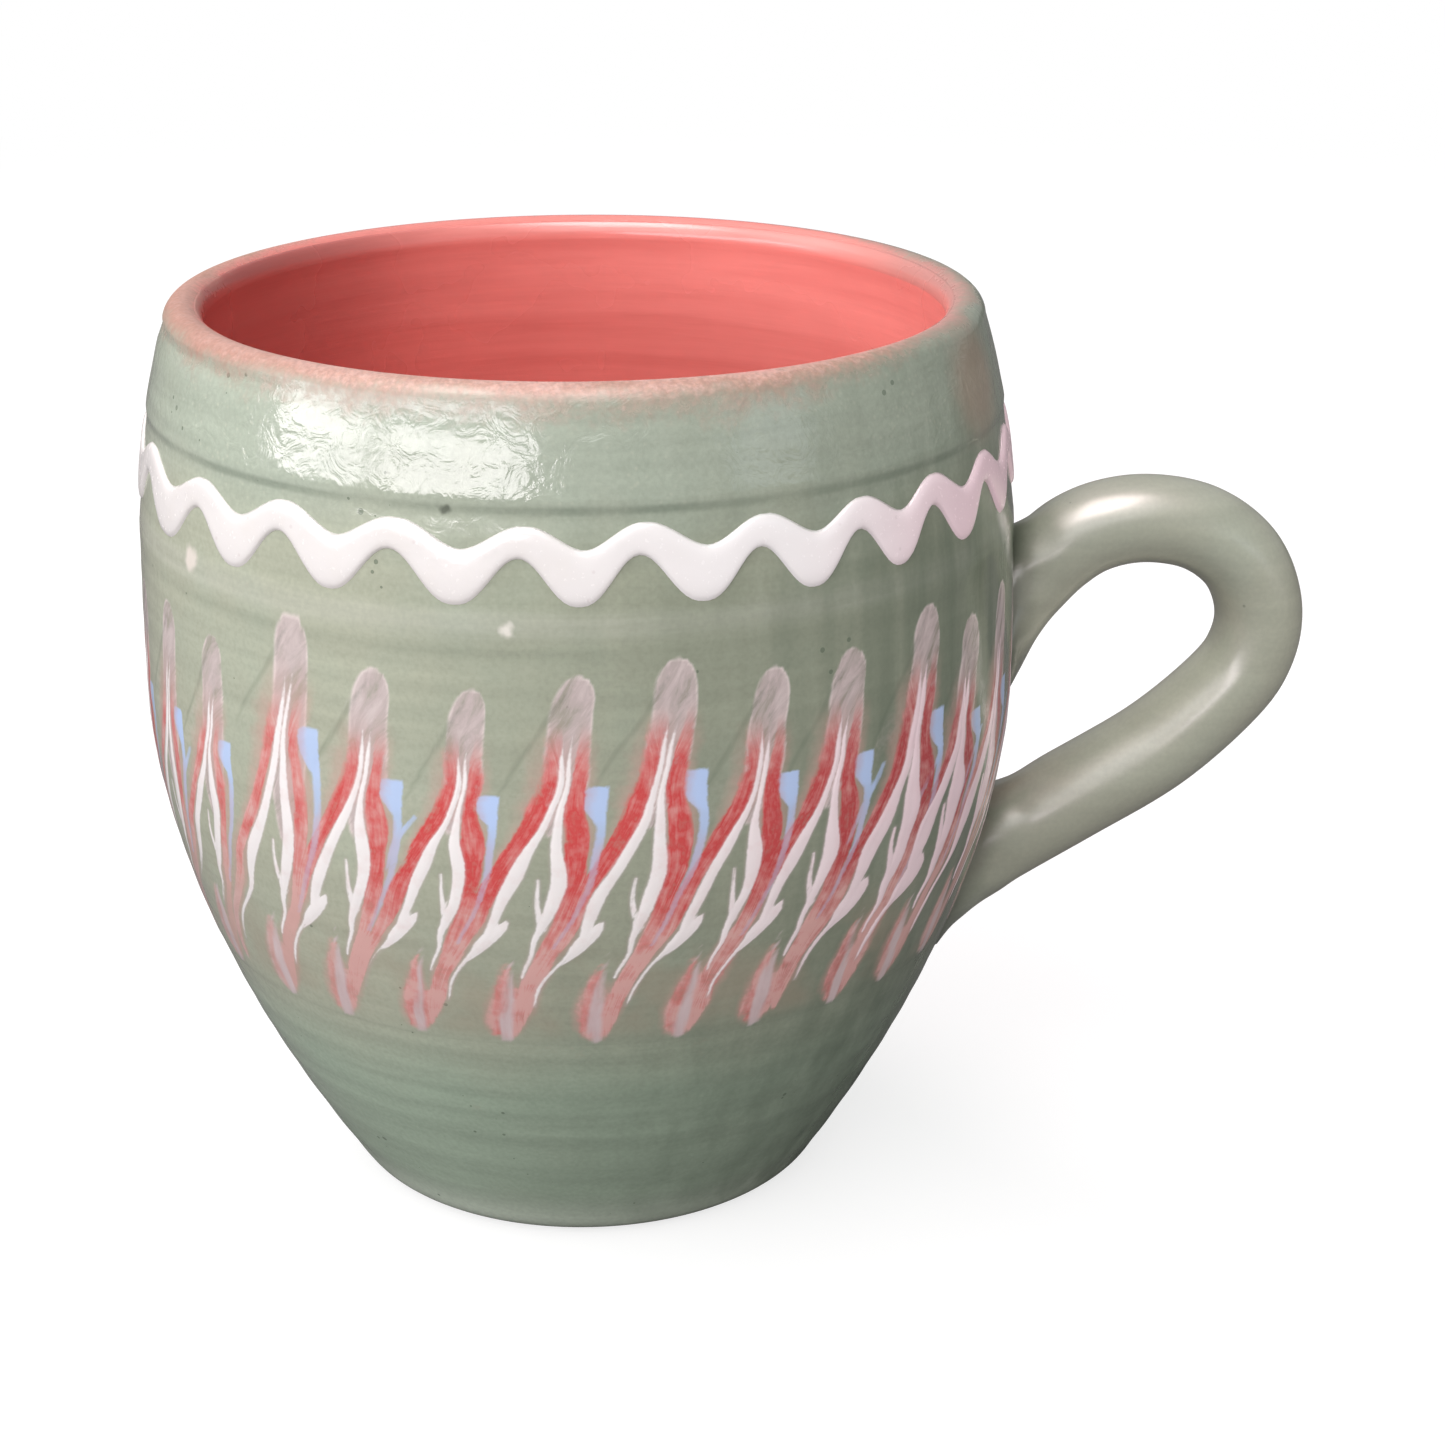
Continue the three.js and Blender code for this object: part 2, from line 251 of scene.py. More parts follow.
def revolved(name, profile, segments, wall, hidden_row, over_lip):
    """A closed shell turned round the axis: profile gives (radius, height) from pole to pole.

    Rows from hidden_row on get little room in the unwrap. over_lip says how far over the lip a ring lies.
    """
    radius, height = np.array(profile[1:-1]).T
    angle = np.linspace(0, 2 * np.pi, segments, endpoint=False)
    rings = radius[:, None] + wall(angle[None, :], height[:, None])
    level = np.broadcast_to(height[:, None], rings.shape)
    points = np.stack([rings * np.cos(angle), rings * np.sin(angle), level], axis=-1).reshape(-1, 3)
    poles = [[0, 0, profile[0][1]], [0, 0, profile[-1][1]]]
    faces, column, row = ring_grid(len(radius), segments)
    steps = [0.0] + [math.dist(a, b) for a, b in zip(profile, profile[1:])]
    steps = [d * (HIDDEN_SHARE if i >= hidden_row else 1.0) for i, d in enumerate(steps)]
    share = np.cumsum(steps) / sum(steps)

    # The unwrap is one strip: angle across, the profile's own length up
    spots = np.stack([column / segments, share[1 + row]], axis=-1).reshape(-1, 2).tolist()
    first, last = len(points), len(points) - segments
    for i in range(segments):
        beside = (i + 1) % segments
        left, centre, right = i / segments, (i + 0.5) / segments, (i + 1) / segments
        faces += [[beside, i, first], [last + i, last + beside, first + 1]]
        spots += [(right, share[1]), (left, share[1]), (centre, share[0])]
        spots += [(left, share[-2]), (right, share[-2]), (centre, share[-1])]
    mesh = bpy.data.meshes.new(name)
    mesh.from_pydata(points.tolist() + poles, [], faces)
    mesh.uv_layers.new(name=BAKE_MAP).data.foreach_set("uv", np.ravel(spots))
    store(mesh, "lip", np.append(np.repeat(over_lip, segments), over_lip[[0, -1]]))
    return mesh


def baked(piece):
    """Turns the result of a piece's node tree into its plain mesh."""
    graph = bpy.context.evaluated_depsgraph_get()
    mesh = bpy.data.meshes.new_from_object(piece.evaluated_get(graph))
    piece.modifiers.clear()
    piece.data = mesh
    edit = bmesh.new()
    edit.from_mesh(mesh)
    bmesh.ops.remove_doubles(edit, verts=edit.verts, dist=2e-6)
    bmesh.ops.recalc_face_normals(edit, faces=edit.faces)
    edit.to_mesh(mesh)
    edit.free()
    mesh.shade_smooth()
    mesh.name = piece.name
    return piece


def keep(piece, slot, *nodes):
    """Hands a finished piece to the frame."""
    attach(piece, BODY)
    if nodes:
        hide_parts(*nodes)


# Node tools

SMOOTH = {"interpolation_type": "SMOOTHSTEP"}
USUAL = {"Mix": {"data_type": "RGBA"}}


def add(tree, kind, inputs=(), **settings):
    """Adds one node: a shader node unless its kind says otherwise, or in capitals a Math operation.

    Inputs come by name or in order. Each is a value, a socket, or a node whose first live output is read.
    """
    if kind.isupper():
        kind, settings = "Math", {"operation": kind, **settings}
    node = tree.nodes.new(kind if "Node" in kind else "ShaderNode" + kind)
    for key, value in {**USUAL.get(kind, {}), **settings}.items():
        setattr(node, key, value)
    live = [s for s in node.inputs if s.enabled]
    for key, value in inputs.items() if isinstance(inputs, dict) else enumerate(inputs):
        socket = next(s for s in live if s.name == key) if isinstance(key, str) else live[key]
        if isinstance(value, Node):
            value = next(s for s in value.outputs if s.enabled)
        if isinstance(value, NodeSocket):
            tree.links.new(value, socket)
        else:
            socket.default_value = value
    return node


def geometry_tree(name, sockets):
    tree = bpy.data.node_groups.new(name, "GeometryNodeTree")
    tree.interface.new_socket(name="Geometry", in_out="OUTPUT", socket_type="NodeSocketGeometry")
    for label, kind in sockets.items():
        tree.interface.new_socket(name=label, in_out="INPUT", socket_type="NodeSocket" + kind)
    return tree, add(tree, "NodeGroupInput").outputs


def run_tree(piece, tree, values):
    modifier = piece.modifiers.new("shape", "NODES")
    modifier.node_group = tree
    for socket in tree.interface.items_tree:
        if socket.in_out == "INPUT" and socket.name in values:
            modifier[socket.identifier] = values[socket.name]
    return baked(piece)


def new_material(name):
    made = bpy.data.materials.new(name)
    made.use_nodes = True
    made.node_tree.nodes.clear()
    return made, made.node_tree


def per_mm(size):
    """Scale of a texture whose pattern has a size in millimetres."""
    return 1 / (size * MM)


def blend(tree, skin, tint, value, start, full, share=1.0, times=(), **ramp):
    """Brings a tint over a skin as a value runs from start to full, up to a share, times other shares."""
    amount = add(tree, "MapRange", [value, start, full, 0, share], **ramp)
    for part in times:
        amount = add(tree, "MULTIPLY", [amount, part])
    return add(tree, "Mix", [amount, skin, tint])


def shaded(tree, skin, pattern, low, high, dark, light):
    """Multiplies a skin by a pattern, whose low to high values give dark to light."""
    shade = add(tree, "MapRange", [pattern, low, high, dark, light])
    return add(tree, "Mix", [1.0, skin, shade], blend_type="MULTIPLY")


def fired(tree, tone, gloss, relief, depth, strength=1.0, **look):
    """Ends a material: its tone and gloss over a fine relief of a depth in metres."""
    bump = add(tree, "Bump", {"Height": relief, "Strength": strength, "Distance": depth})
    skin = {"Base Color": tone, "Roughness": gloss, "Normal": bump, **look}
    if "Coat Weight" in look:
        skin["Coat Normal"] = bump
    add(tree, "OutputMaterial", {"Surface": add(tree, "BsdfPrincipled", skin)})


# Finishes

GLAZE_IOR = 1.7
BARE_ROUGHNESS = 0.65


def sage_group():
    """Green slip under clear glaze: colour, gloss and surface height, shared by body, band and handle."""
    name = "sage_slip_under_glaze"
    if name in bpy.data.node_groups:
        return bpy.data.node_groups[name]
    c = bpy.context.scene.mug_colours
    s = bpy.context.scene.mug_body
    tree = bpy.data.node_groups.new(name, "ShaderNodeTree")
    for label, kind in (("Color", "Color"), ("Roughness", "Float"), ("Height", "Float")):
        tree.interface.new_socket(name=label, in_out="OUTPUT", socket_type="NodeSocket" + kind)
    place = add(tree, "TexCoord").outputs["Object"]
    height = add(tree, "SeparateXYZ", [place]).outputs["Z"]

    # Clouds 12 mm across and brush streaks 1.3 mm high and 25 mm long shift the green
    clouds = add(tree, "TexNoise", [place, per_mm(12), 3])
    along = add(tree, "Mapping", {"Vector": place, "Scale": [per_mm(v) for v in (25, 25, 1.3)]})
    streaks = add(tree, "TexNoise", [along, 1.0, 4])
    lip_zone = add(tree, "MapRange", [height, s.height - 18 * MM, s.height - 8 * MM], **SMOOTH)
    foot_zone = add(tree, "MapRange", [height, 34 * MM, 20 * MM], **SMOOTH)
    drift = add(tree, "MULTIPLY_ADD", [clouds, 1.2, -0.6])
    cool = add(tree, "ADD", [lip_zone, drift], use_clamp=True)
    green = add(tree, "Mix", [cool, c.sage, c.sage_cool])
    low = add(tree, "MULTIPLY_ADD", [drift, 0.5, foot_zone], use_clamp=True)
    green = add(tree, "Mix", [low, green, c.sage_foot])
    # Paler in the lowest 8 mm: painted light thrown up from the table onto the heel
    green = blend(tree, green, linear("#dce8d6"), height, 8 * MM, 0.5 * MM, 0.8, **SMOOTH)
    green = shaded(tree, green, streaks, 0.3, 0.7, 0.93, 1.06)

    # Fine grain of the slip, 0.5 mm, and rare iron specks, 1.6 mm apart
    grain = add(tree, "TexNoise", [place, per_mm(0.5), 2])
    green = shaded(tree, green, grain, 0.3, 0.7, 0.94, 1.06)
    specks = add(tree, "TexVoronoi", [place, per_mm(1.6)]).outputs["Distance"]
    rare = add(tree, "TexNoise", [place, per_mm(7), 1])
    speck_size = add(tree, "MapRange", [rare, 0.6, 0.75, 0, 0.2])
    speck = add(tree, "LESS_THAN", [specks, speck_size])
    speck = add(tree, "MULTIPLY", [speck, 0.6])
    green = add(tree, "Mix", [speck, green, c.sage_dark])

    # Painted glints: pale dots 0.8 mm apart, in patches where the glaze was brushed on near the lip
    glints = add(tree, "TexVoronoi", [place, per_mm(0.8)]).outputs["Distance"]
    strewn = add(tree, "MapRange", [clouds, 0.42, 0.6])
    green = blend(tree, green, linear("#dcddc8"), glints, 0.3, 0.08, 0.26, [strewn, lip_zone])

    # Painted shade in the turned groove, where glaze also pools; the soft ridge pale where glaze runs thin
    # and from a painted highlight; painted shadow under the ridge
    uneven = add(tree, "MapRange", [clouds, 0.35, 0.6, 0.25])
    groove = s.height - s.groove_below_lip
    for level, reach, core, share, broken, tint in (
        (groove - 0.2 * MM, 0.65, 0.1, 0.38, uneven, c.sage_dark),
        (s.ridge_height + 0.6 * MM, 2.2, 0.0, 0.24, streaks, c.white),
        (s.ridge_height - 2.1 * MM, 0.9, 0.1, 0.09, uneven, c.sage_dark),
    ):
        away = add(tree, "SUBTRACT", [height, level])
        away = add(tree, "ABSOLUTE", [away])
        green = blend(tree, green, tint, away, reach * MM, core * MM, share, [broken], **SMOOTH)

    # The glaze is uneven: waves 6 mm across, wrinkles 2.6 mm, brush lines 1.3 mm and orange peel 0.9 mm
    waves = add(tree, "TexNoise", {"Vector": place, "Scale": per_mm(6), "Detail": 2, "Distortion": 0.6})
    peel = add(tree, "TexNoise", [place, per_mm(0.9), 2])
    wrinkles = add(
        tree, "TexNoise",
        {"Vector": place, "Scale": per_mm(2.6), "Detail": 3, "Roughness": 0.62, "Distortion": 1.4},
    )
    brushed = add(tree, "MULTIPLY_ADD", [lip_zone, 0.7, 0.12])
    relief = waves
    for part, weight in ((wrinkles, brushed), (streaks, 0.12), (peel, 0.08)):
        relief = add(tree, "MULTIPLY_ADD", [part, weight, relief])
    gloss = add(tree, "MapRange", [waves, 0.3, 0.7, 0.09, 0.17])
    add(tree, "NodeGroupOutput", {"Color": green, "Roughness": gloss, "Height": relief})
    return tree


# Marks on the glaze, two of them painted glints: place and radius in mm, colour, strength
MARKS = (
    # A pinkish-brown patch under the lip on the handle side
    ((38.5, -17.5, 89.5), 8.0, "#b09382", 0.5),
    # Two pale spots below the wave: painted glints on small glaze blobs
    ((-37.0, -25.0, 74.6), 1.7, "#efe6dc", 0.8),
    ((-6.8, -44.2, 73.3), 1.0, "#f3efe6", 0.8),
    # A dark speck by the groove
    ((-12.1, -41.8, 84.0), 0.8, "#4a5044", 0.7),
)
MARK_WARP = 1.6


def painted_shade_and_marks(tree, green):
    """Painted shade darkening the green towards the handle, in upright glaze runs 3 mm wide, with a few
    marks.
    """
    c = bpy.context.scene.mug_colours
    place = add(tree, "TexCoord").outputs["Object"]
    # Painted shade on the side towards the handle, weaker near the lip
    level = add(tree, "VectorMath", [place, (1, 1, 0)], operation="MULTIPLY")
    aside = add(tree, "VectorMath", [level], operation="NORMALIZE")
    aside = add(tree, "SeparateXYZ", [aside]).outputs["X"]
    upright = add(tree, "Mapping", {"Vector": place, "Scale": [per_mm(v) for v in (3, 3, 45)]})
    runs = add(tree, "TexNoise", [upright, 1.0, 3])
    runs = add(tree, "MapRange", [runs, 0.3, 0.7, 0.8, 1.2])
    height = add(tree, "SeparateXYZ", [place]).outputs["Z"]
    top = add(tree, "MapRange", [height, 76 * MM, 88 * MM, 1.0, 0.5])
    green = blend(tree, green, c.sage_dark, aside, -0.45, 0.9, 0.75, [runs, top])

    # Ragged edges: each mark is warped by noise 1.5 mm across
    ragged = add(tree, "TexNoise", [place, per_mm(1.5), 2]).outputs["Color"]
    warped = add(tree, "VectorMath", [ragged, [MARK_WARP * MM] * 3, place], operation="MULTIPLY_ADD")
    for spot, radius, tint, strength in MARKS:
        centre = [(v + MARK_WARP / 2) * MM for v in spot]
        away = add(tree, "VectorMath", [warped, centre], operation="DISTANCE").outputs["Value"]
        green = blend(tree, green, linear(tint), away, radius * MM, 0.3 * radius * MM, strength, **SMOOTH)
    return green


def wiped_lip(tree, outside, inside):
    """Colour across the lip, where a wet sponge bared the clay: green, burnt edge, pale clay, coral."""
    c = bpy.context.scene.mug_colours
    place = add(tree, "TexCoord").outputs["Object"]
    lip = add(tree, "Attribute", attribute_name="lip").outputs["Fac"]
    spot = add(tree, "SeparateXYZ", [place]).outputs
    aside, behind = spot["X"], spot["Y"]

    # The border wanders every 6 mm and crumbles in 0.8 mm grains; less was wiped near the handle
    wander = add(tree, "TexNoise", [place, per_mm(6), 4, 0.7])
    crumble = add(tree, "TexNoise", [place, per_mm(0.8), 3, 0.7])
    pressed = add(tree, "MapRange", [aside, 12 * MM, 40 * MM, 0.03, -0.22])
    eased = add(tree, "MapRange", [behind, 0, 40 * MM, 0, -0.16])
    pressed = add(tree, "ADD", [pressed, eased])
    edge = add(tree, "ADD", [lip, pressed])
    for part, weight in ((wander, 0.5), (crumble, 0.22)):
        edge = add(tree, "MULTIPLY_ADD", [part, weight, edge])
    worn = add(tree, "MapRange", [edge, 0.46, 0.82, 0, 0.94], **SMOOTH)

    # Coral ran further over the lip at the back and by the handle
    poured = add(tree, "MapRange", [behind, 0, 40 * MM, 0, 0.5])
    poured = add(tree, "ADD", [edge, poured])
    spilled = add(tree, "MapRange", [aside, 0, 40 * MM, 0, 0.34])
    poured = add(tree, "ADD", [poured, spilled])
    slipped = add(tree, "MapRange", [poured, 1.0, 1.3], **SMOOTH)

    # The clay: burnt at its edge, mottled, gritty every 0.45 mm, darker on the left, greyer on the rim by
    # the handle
    clay = blend(tree, c.clay, linear("#b4836e"), edge, 0.98, 0.72, 0.85)
    clay = blend(tree, clay, linear("#e6cdc5"), crumble, 0.45, 0.75, 0.36)
    grit = add(tree, "TexNoise", [place, per_mm(0.45), 2])
    clay = shaded(tree, clay, grit, 0.32, 0.68, 0.8, 1.1)
    clay = blend(tree, clay, linear("#a5705f"), aside, -16 * MM, -38 * MM, 0.5, **SMOOTH)
    clay = add(tree, "Mix", [slipped, clay, inside])
    on_rim = add(tree, "MapRange", [lip, 1.12, 0.94])
    clay = blend(tree, clay, linear("#a88d85"), aside, 26 * MM, 37 * MM, 0.6, [on_rim], **SMOOTH)
    skin = add(tree, "Mix", [worn, outside, clay])
    bared = add(tree, "SUBTRACT", [1.0, slipped])
    bared = add(tree, "MULTIPLY", [bared, worn])
    return skin, bared


def sage_glaze():
    """Slip-coated earthenware under clear glaze; the lip is wiped, so pink clay grins through."""
    c = bpy.context.scene.mug_colours
    made, tree = new_material("sage slip under clear glaze")
    sage = add(tree, "Group", node_tree=sage_group()).outputs
    # The green takes painted shade towards the handle and the marks before the lip is wiped
    skin, bared = wiped_lip(tree, painted_shade_and_marks(tree, sage["Color"]), c.coral)
    gloss = add(tree, "Mix", [bared, sage["Roughness"], BARE_ROUGHNESS], data_type="FLOAT")
    fired(tree, skin, gloss, sage["Height"], 0.1 * MM, IOR=GLAZE_IOR)
    return made


def bare_clay():
    """Unglazed earthenware on the base: matt, sandy, with the curved drag lines of the cutting wire."""
    c = bpy.context.scene.mug_colours
    made, tree = new_material("bare fired earthenware")
    place = add(tree, "TexCoord").outputs["Object"]
    centre = add(tree, "Mapping", {"Vector": place, "Location": (60 * MM, 20 * MM, 0)})
    wire = add(
        tree, "TexWave",
        {"Vector": centre, "Scale": per_mm(11), "Distortion": 2.0, "Detail": 2, "Detail Scale": 0.6},
        wave_type="RINGS", rings_direction="Z",
    )
    sand = add(tree, "TexNoise", [place, per_mm(0.7), 4])
    blush = add(tree, "TexNoise", [place, per_mm(9), 3])
    tone = add(tree, "Mix", [blush, c.clay, linear("#c98a70")])
    tone = shaded(tree, tone, sand, 0.3, 0.7, 0.82, 1.08)
    relief = add(tree, "MULTIPLY_ADD", [wire, 0.8, sand])
    fired(tree, tone, 0.85, relief, 0.25 * MM, 0.8)
    return made


def coral_glaze():
    """Coral slip poured inside under clear glaze: glossy, faint finger rings, painted shade on the left
    inside.
    """
    c = bpy.context.scene.mug_colours
    made, tree = new_material("coral slip under clear glaze")
    place = add(tree, "TexCoord").outputs["Object"]
    along = add(tree, "Mapping", {"Vector": place, "Scale": [per_mm(v) for v in (40, 40, 2.4)]})
    rings = add(tree, "TexNoise", [along, 1.0, 4, 0.6])
    clouds = add(tree, "TexNoise", [place, per_mm(15), 3])
    tone = blend(tree, c.coral, c.coral_dark, rings, 0.42, 0.8, 0.55)
    tone = shaded(tree, tone, clouds, 0.15, 0.85, 0.9, 1.08)
    # Painted shade: darker towards the left inside, where the wall faces away from the lamps
    aside = add(tree, "SeparateXYZ", [place]).outputs["X"]
    tone = blend(tree, tone, linear("#97413f"), aside, -12 * MM, -36 * MM, 0.7, **SMOOTH)
    tone, bared = wiped_lip(tree, c.clay, tone)
    gloss = add(tree, "MapRange", [clouds, 0.15, 0.85, 0.2, 0.34])
    gloss = add(tree, "Mix", [bared, gloss, BARE_ROUGHNESS], data_type="FLOAT")
    fired(tree, tone, gloss, rings, 0.12 * MM, IOR=GLAZE_IOR)
    return made


def white_glaze():
    """Thick trailed white slip: clean and glossy, creamier where thin, with painted light whiter towards the
    handle and a painted pink tint by it.
    """
    c = bpy.context.scene.mug_colours
    made, tree = new_material("trailed white slip under glaze")
    place = add(tree, "TexCoord").outputs["Object"]
    clouds = add(tree, "TexNoise", [place, per_mm(3), 3])
    grain = add(tree, "TexNoise", [place, per_mm(0.5), 2])
    aside = add(tree, "SeparateXYZ", [place]).outputs["X"]
    pits = add(tree, "TexVoronoi", [place, per_mm(2.4)]).outputs["Distance"]
    tone = blend(tree, c.white, linear("#e8e2da"), clouds, 0.5, 0.8, 0.3)
    # Painted light: whiter across the middle and towards the handle
    tone = blend(tree, tone, linear("#fffdfc"), aside, -12 * MM, 18 * MM, 0.95, **SMOOTH)
    # Painted pink light tint on the side by the handle
    tone = blend(tree, tone, linear("#ffdfe8"), aside, 18 * MM, 42 * MM, 0.9, **SMOOTH)
    tone = blend(tree, tone, c.smear, pits, 0.1, 0.05, 0.22)
    relief = add(tree, "MULTIPLY_ADD", [grain, 0.15, clouds])
    gloss = add(tree, "MapRange", [grain, 0.3, 0.75, 0.16, 0.3])
    fired(tree, tone, gloss, relief, 0.06 * MM, IOR=GLAZE_IOR)
    return made


def handle_glaze():
    """The same green slip on the pulled strap: satin under a clear coat with soft lamp patches."""
    made, tree = new_material("sage slip on pulled handle")
    sage = add(tree, "Group", node_tree=sage_group()).outputs
    skin = add(tree, "Mix", [0.35, sage["Color"], linear("#a5a99a")])
    # Darker in the crease at the roots: painted shade, with glaze pooled there
    crease = add(tree, "Attribute", attribute_name="crease").outputs["Fac"]
    crease = add(tree, "MULTIPLY", [crease, 0.82])
    skin = add(tree, "Mix", [crease, skin, linear("#4b5446")])
    gloss = add(tree, "MULTIPLY_ADD", [sage["Roughness"], 0.8, 0.32])
    look = {
        "IOR": 1.6, "Specular Tint": linear("#ffe9ee"),
        "Coat Weight": 1.0, "Coat Roughness": 0.26, "Coat IOR": 1.75,
    }
    fired(tree, skin, gloss, sage["Height"], 0.04 * MM, **look)
    return made


FIELDS = ("red", "bloom", "blush", "strength", "pale", "white", "blue", "bright", "smear", "drag", "flame")


def feathered_glaze():
    """Red, white and blue slips combed through wet green slip: soft red flanks, crisp white threads."""
    c = bpy.context.scene.mug_colours
    made, tree = new_material("feathered slips under clear glaze")
    sage = add(tree, "Group", node_tree=sage_group()).outputs
    place = add(tree, "TexCoord").outputs["Object"]
    spot = add(tree, "SeparateXYZ", [place]).outputs
    aside, height = spot["X"], spot["Z"]
    slip = {n: add(tree, "Attribute", attribute_name="slip_" + n).outputs["Fac"] for n in FIELDS}
    flow = add(tree, "Attribute", attribute_name="flow").outputs["Vector"]

    # Combed streaks of 0.35 by 6 mm, crumbs of 0.5 mm, patches of 2.2 mm, slanting lines 1.4 mm apart
    combed = add(tree, "Mapping", {"Vector": flow, "Scale": (per_mm(0.35), per_mm(6), 1.0)})
    streak = add(tree, "TexNoise", [combed, 1.0, 3, 0.6])
    fray = add(tree, "TexNoise", [place, per_mm(0.5), 3])
    patches = add(tree, "TexNoise", [place, per_mm(2.2), 3, 0.6])
    slant = add(
        tree, "Mapping",
        {"Vector": flow, "Rotation": (0, 0, math.radians(-30)), "Scale": (1.4 * MM, 5 * MM, 1.0)},
        vector_type="TEXTURE",
    )
    dragged = add(
        tree, "TexNoise",
        {"Vector": slant, "Scale": 1.0, "Detail": 4, "Roughness": 0.65, "Distortion": 0.5},
    )
    jag, drawn, patchy, lined = (
        add(tree, "ADD", [noise, -0.5]) for noise in (fray, streak, patches, dragged)
    )

    # Thin brown wash where the comb dragged the slips below the feathers
    # The green first takes painted shade towards the handle and the marks
    skin = painted_shade_and_marks(tree, sage["Color"])
    washed = add(tree, "TexNoise", [place, per_mm(9), 3])
    wash_end = add(tree, "MapRange", [height, 29.5 * MM, 32 * MM], **SMOOTH)
    patch = add(tree, "MapRange", [washed, 0.42, 0.66, 0, 0.4], **SMOOTH)
    skin = blend(tree, skin, linear("#ab9c88"), height, 46 * MM, 36 * MM, 1.0, [wash_end, patch], **SMOOTH)

    # Smears: translucent grey-pink with a paler rim
    cover = slip["smear"]
    for part, weight in ((jag, 0.15), (lined, 0.35)):
        cover = add(tree, "MULTIPLY_ADD", [part, weight, cover])
    sheer = add(tree, "MapRange", [dragged, 0.32, 0.55, 0.6, 1.0])
    rim = add(tree, "MapRange", [slip["smear"], 0.65, 0.99, 0.75, 0])
    light = add(tree, "MULTIPLY_ADD", [lined, 2.6, rim], use_clamp=True)
    smear = add(tree, "Mix", [light, c.smear, linear("#ecdfdc")])
    smear = blend(tree, smear, linear("#998d84"), dragged, 0.46, 0.32, 0.72)
    skin = blend(tree, skin, smear, cover, 0.15, 0.9, 0.88, [sheer], **SMOOTH)

    # Dark line that the point of the comb left in the wet slip
    cover = add(tree, "MULTIPLY_ADD", [jag, 1.2, slip["drag"]])
    skin = blend(tree, skin, c.sage_dark, cover, 0.1, 1.1, 0.34)

    # Blue dabs and their drawn tails
    edge = add(tree, "MULTIPLY_ADD", [jag, 0.3, slip["blue"]])
    dab = add(tree, "MapRange", [edge, 0.16, -0.16, 0, 0.97], **SMOOTH)
    dab = add(tree, "MULTIPLY", [dab, slip["bright"]])
    skin = add(tree, "Mix", [dab, skin, c.blue])

    # Pink bloom round the red, then the red itself, strong in the middle, and lilac tails over it
    cover = add(tree, "MULTIPLY_ADD", [patchy, 0.8, slip["bloom"]])
    skin = blend(tree, skin, linear("#d3a49b"), cover, 0.15, 0.95, 0.5, [slip["blush"]], **SMOOTH)
    cover = slip["red"]
    for part, weight in ((drawn, 0.7), (jag, 0.4), (patchy, 1.0)):
        cover = add(tree, "MULTIPLY_ADD", [part, weight, cover])
    pale = add(tree, "MULTIPLY_ADD", [drawn, 1.6, slip["pale"]])
    pale = add(tree, "MULTIPLY_ADD", [patchy, 2.0, pale], use_clamp=True)
    # Towards the handle the red deepens as painted shade, and below the whites turn pink as a painted light
    # tint
    deep = add(tree, "MapRange", [aside, 0, 40 * MM, 0, 0.8], **SMOOTH)
    red = add(tree, "Mix", [deep, c.red, linear("#a9464a")])
    red = add(tree, "Mix", [pale, red, c.red_pale])
    skin = blend(tree, skin, red, cover, 0.35, 1.0, 1.0, [slip["strength"]], **SMOOTH)
    skin = blend(tree, skin, linear("#c9c2d8"), height, 54 * MM, 51 * MM, 0.9, [dab], **SMOOTH)

    # Grey-pink flames drawn out of the feet
    cover = add(tree, "MULTIPLY_ADD", [drawn, 0.6, slip["flame"]])
    flame = add(tree, "Mix", [streak, c.smear, linear("#e8dadc")])
    skin = blend(tree, skin, flame, cover, 0.2, 0.8, 0.85, **SMOOTH)

    # White threads, crisp, with a thin painted shadow beside them, pink drawn into them and a painted pink
    # light tint towards the handle
    edge = add(tree, "MULTIPLY_ADD", [jag, 0.18, slip["white"]])
    # Painted shadow: a thin grey line beside each thread
    skin = blend(tree, skin, c.smear, edge, 0.32, 0.08, 0.22, **SMOOTH)
    white = blend(tree, linear("#fffcfa"), linear("#f2dedb"), patches, 0.5, 0.8, 0.5)
    white = add(tree, "Mix", [deep, white, linear("#ffe2ea")])
    skin = blend(tree, skin, white, edge, 0.12, -0.14, 0.95, **SMOOTH)
    fired(tree, skin, sage["Roughness"], sage["Height"], 0.1 * MM, IOR=GLAZE_IOR)
    return made


# Thrown body and its lining

BODY_SEGMENTS = 288
BASE_RINGS = 14
HEEL_RINGS = 9
WALL_RINGS = 191
INSIDE_RINGS = 36
LIP_START, LIP_END, LIP_STEPS = 16, 196, 24
LIP_UNDER = 8
PAST_LIP = 1.5
LINING_SEGMENTS = 192
LINING_RINGS = 80
LINING_FADE = 9.0
LINING_OVER_LIP = np.linspace(192, 128, 10)


def lip_share(degrees):
    """How far over the lip a point lies: 0 outside just under it, 1 where the inside wall begins."""
    rows = LIP_UNDER + LIP_STEPS * (degrees - LIP_START) / (LIP_END - LIP_START)
    return rows / (LIP_UNDER + LIP_STEPS)


def arc(centre, radius, start, end, steps):
    turns = np.radians(np.linspace(start, end, steps))
    return [(centre[0] + radius * math.cos(t), centre[1] + radius * math.sin(t)) for t in turns]


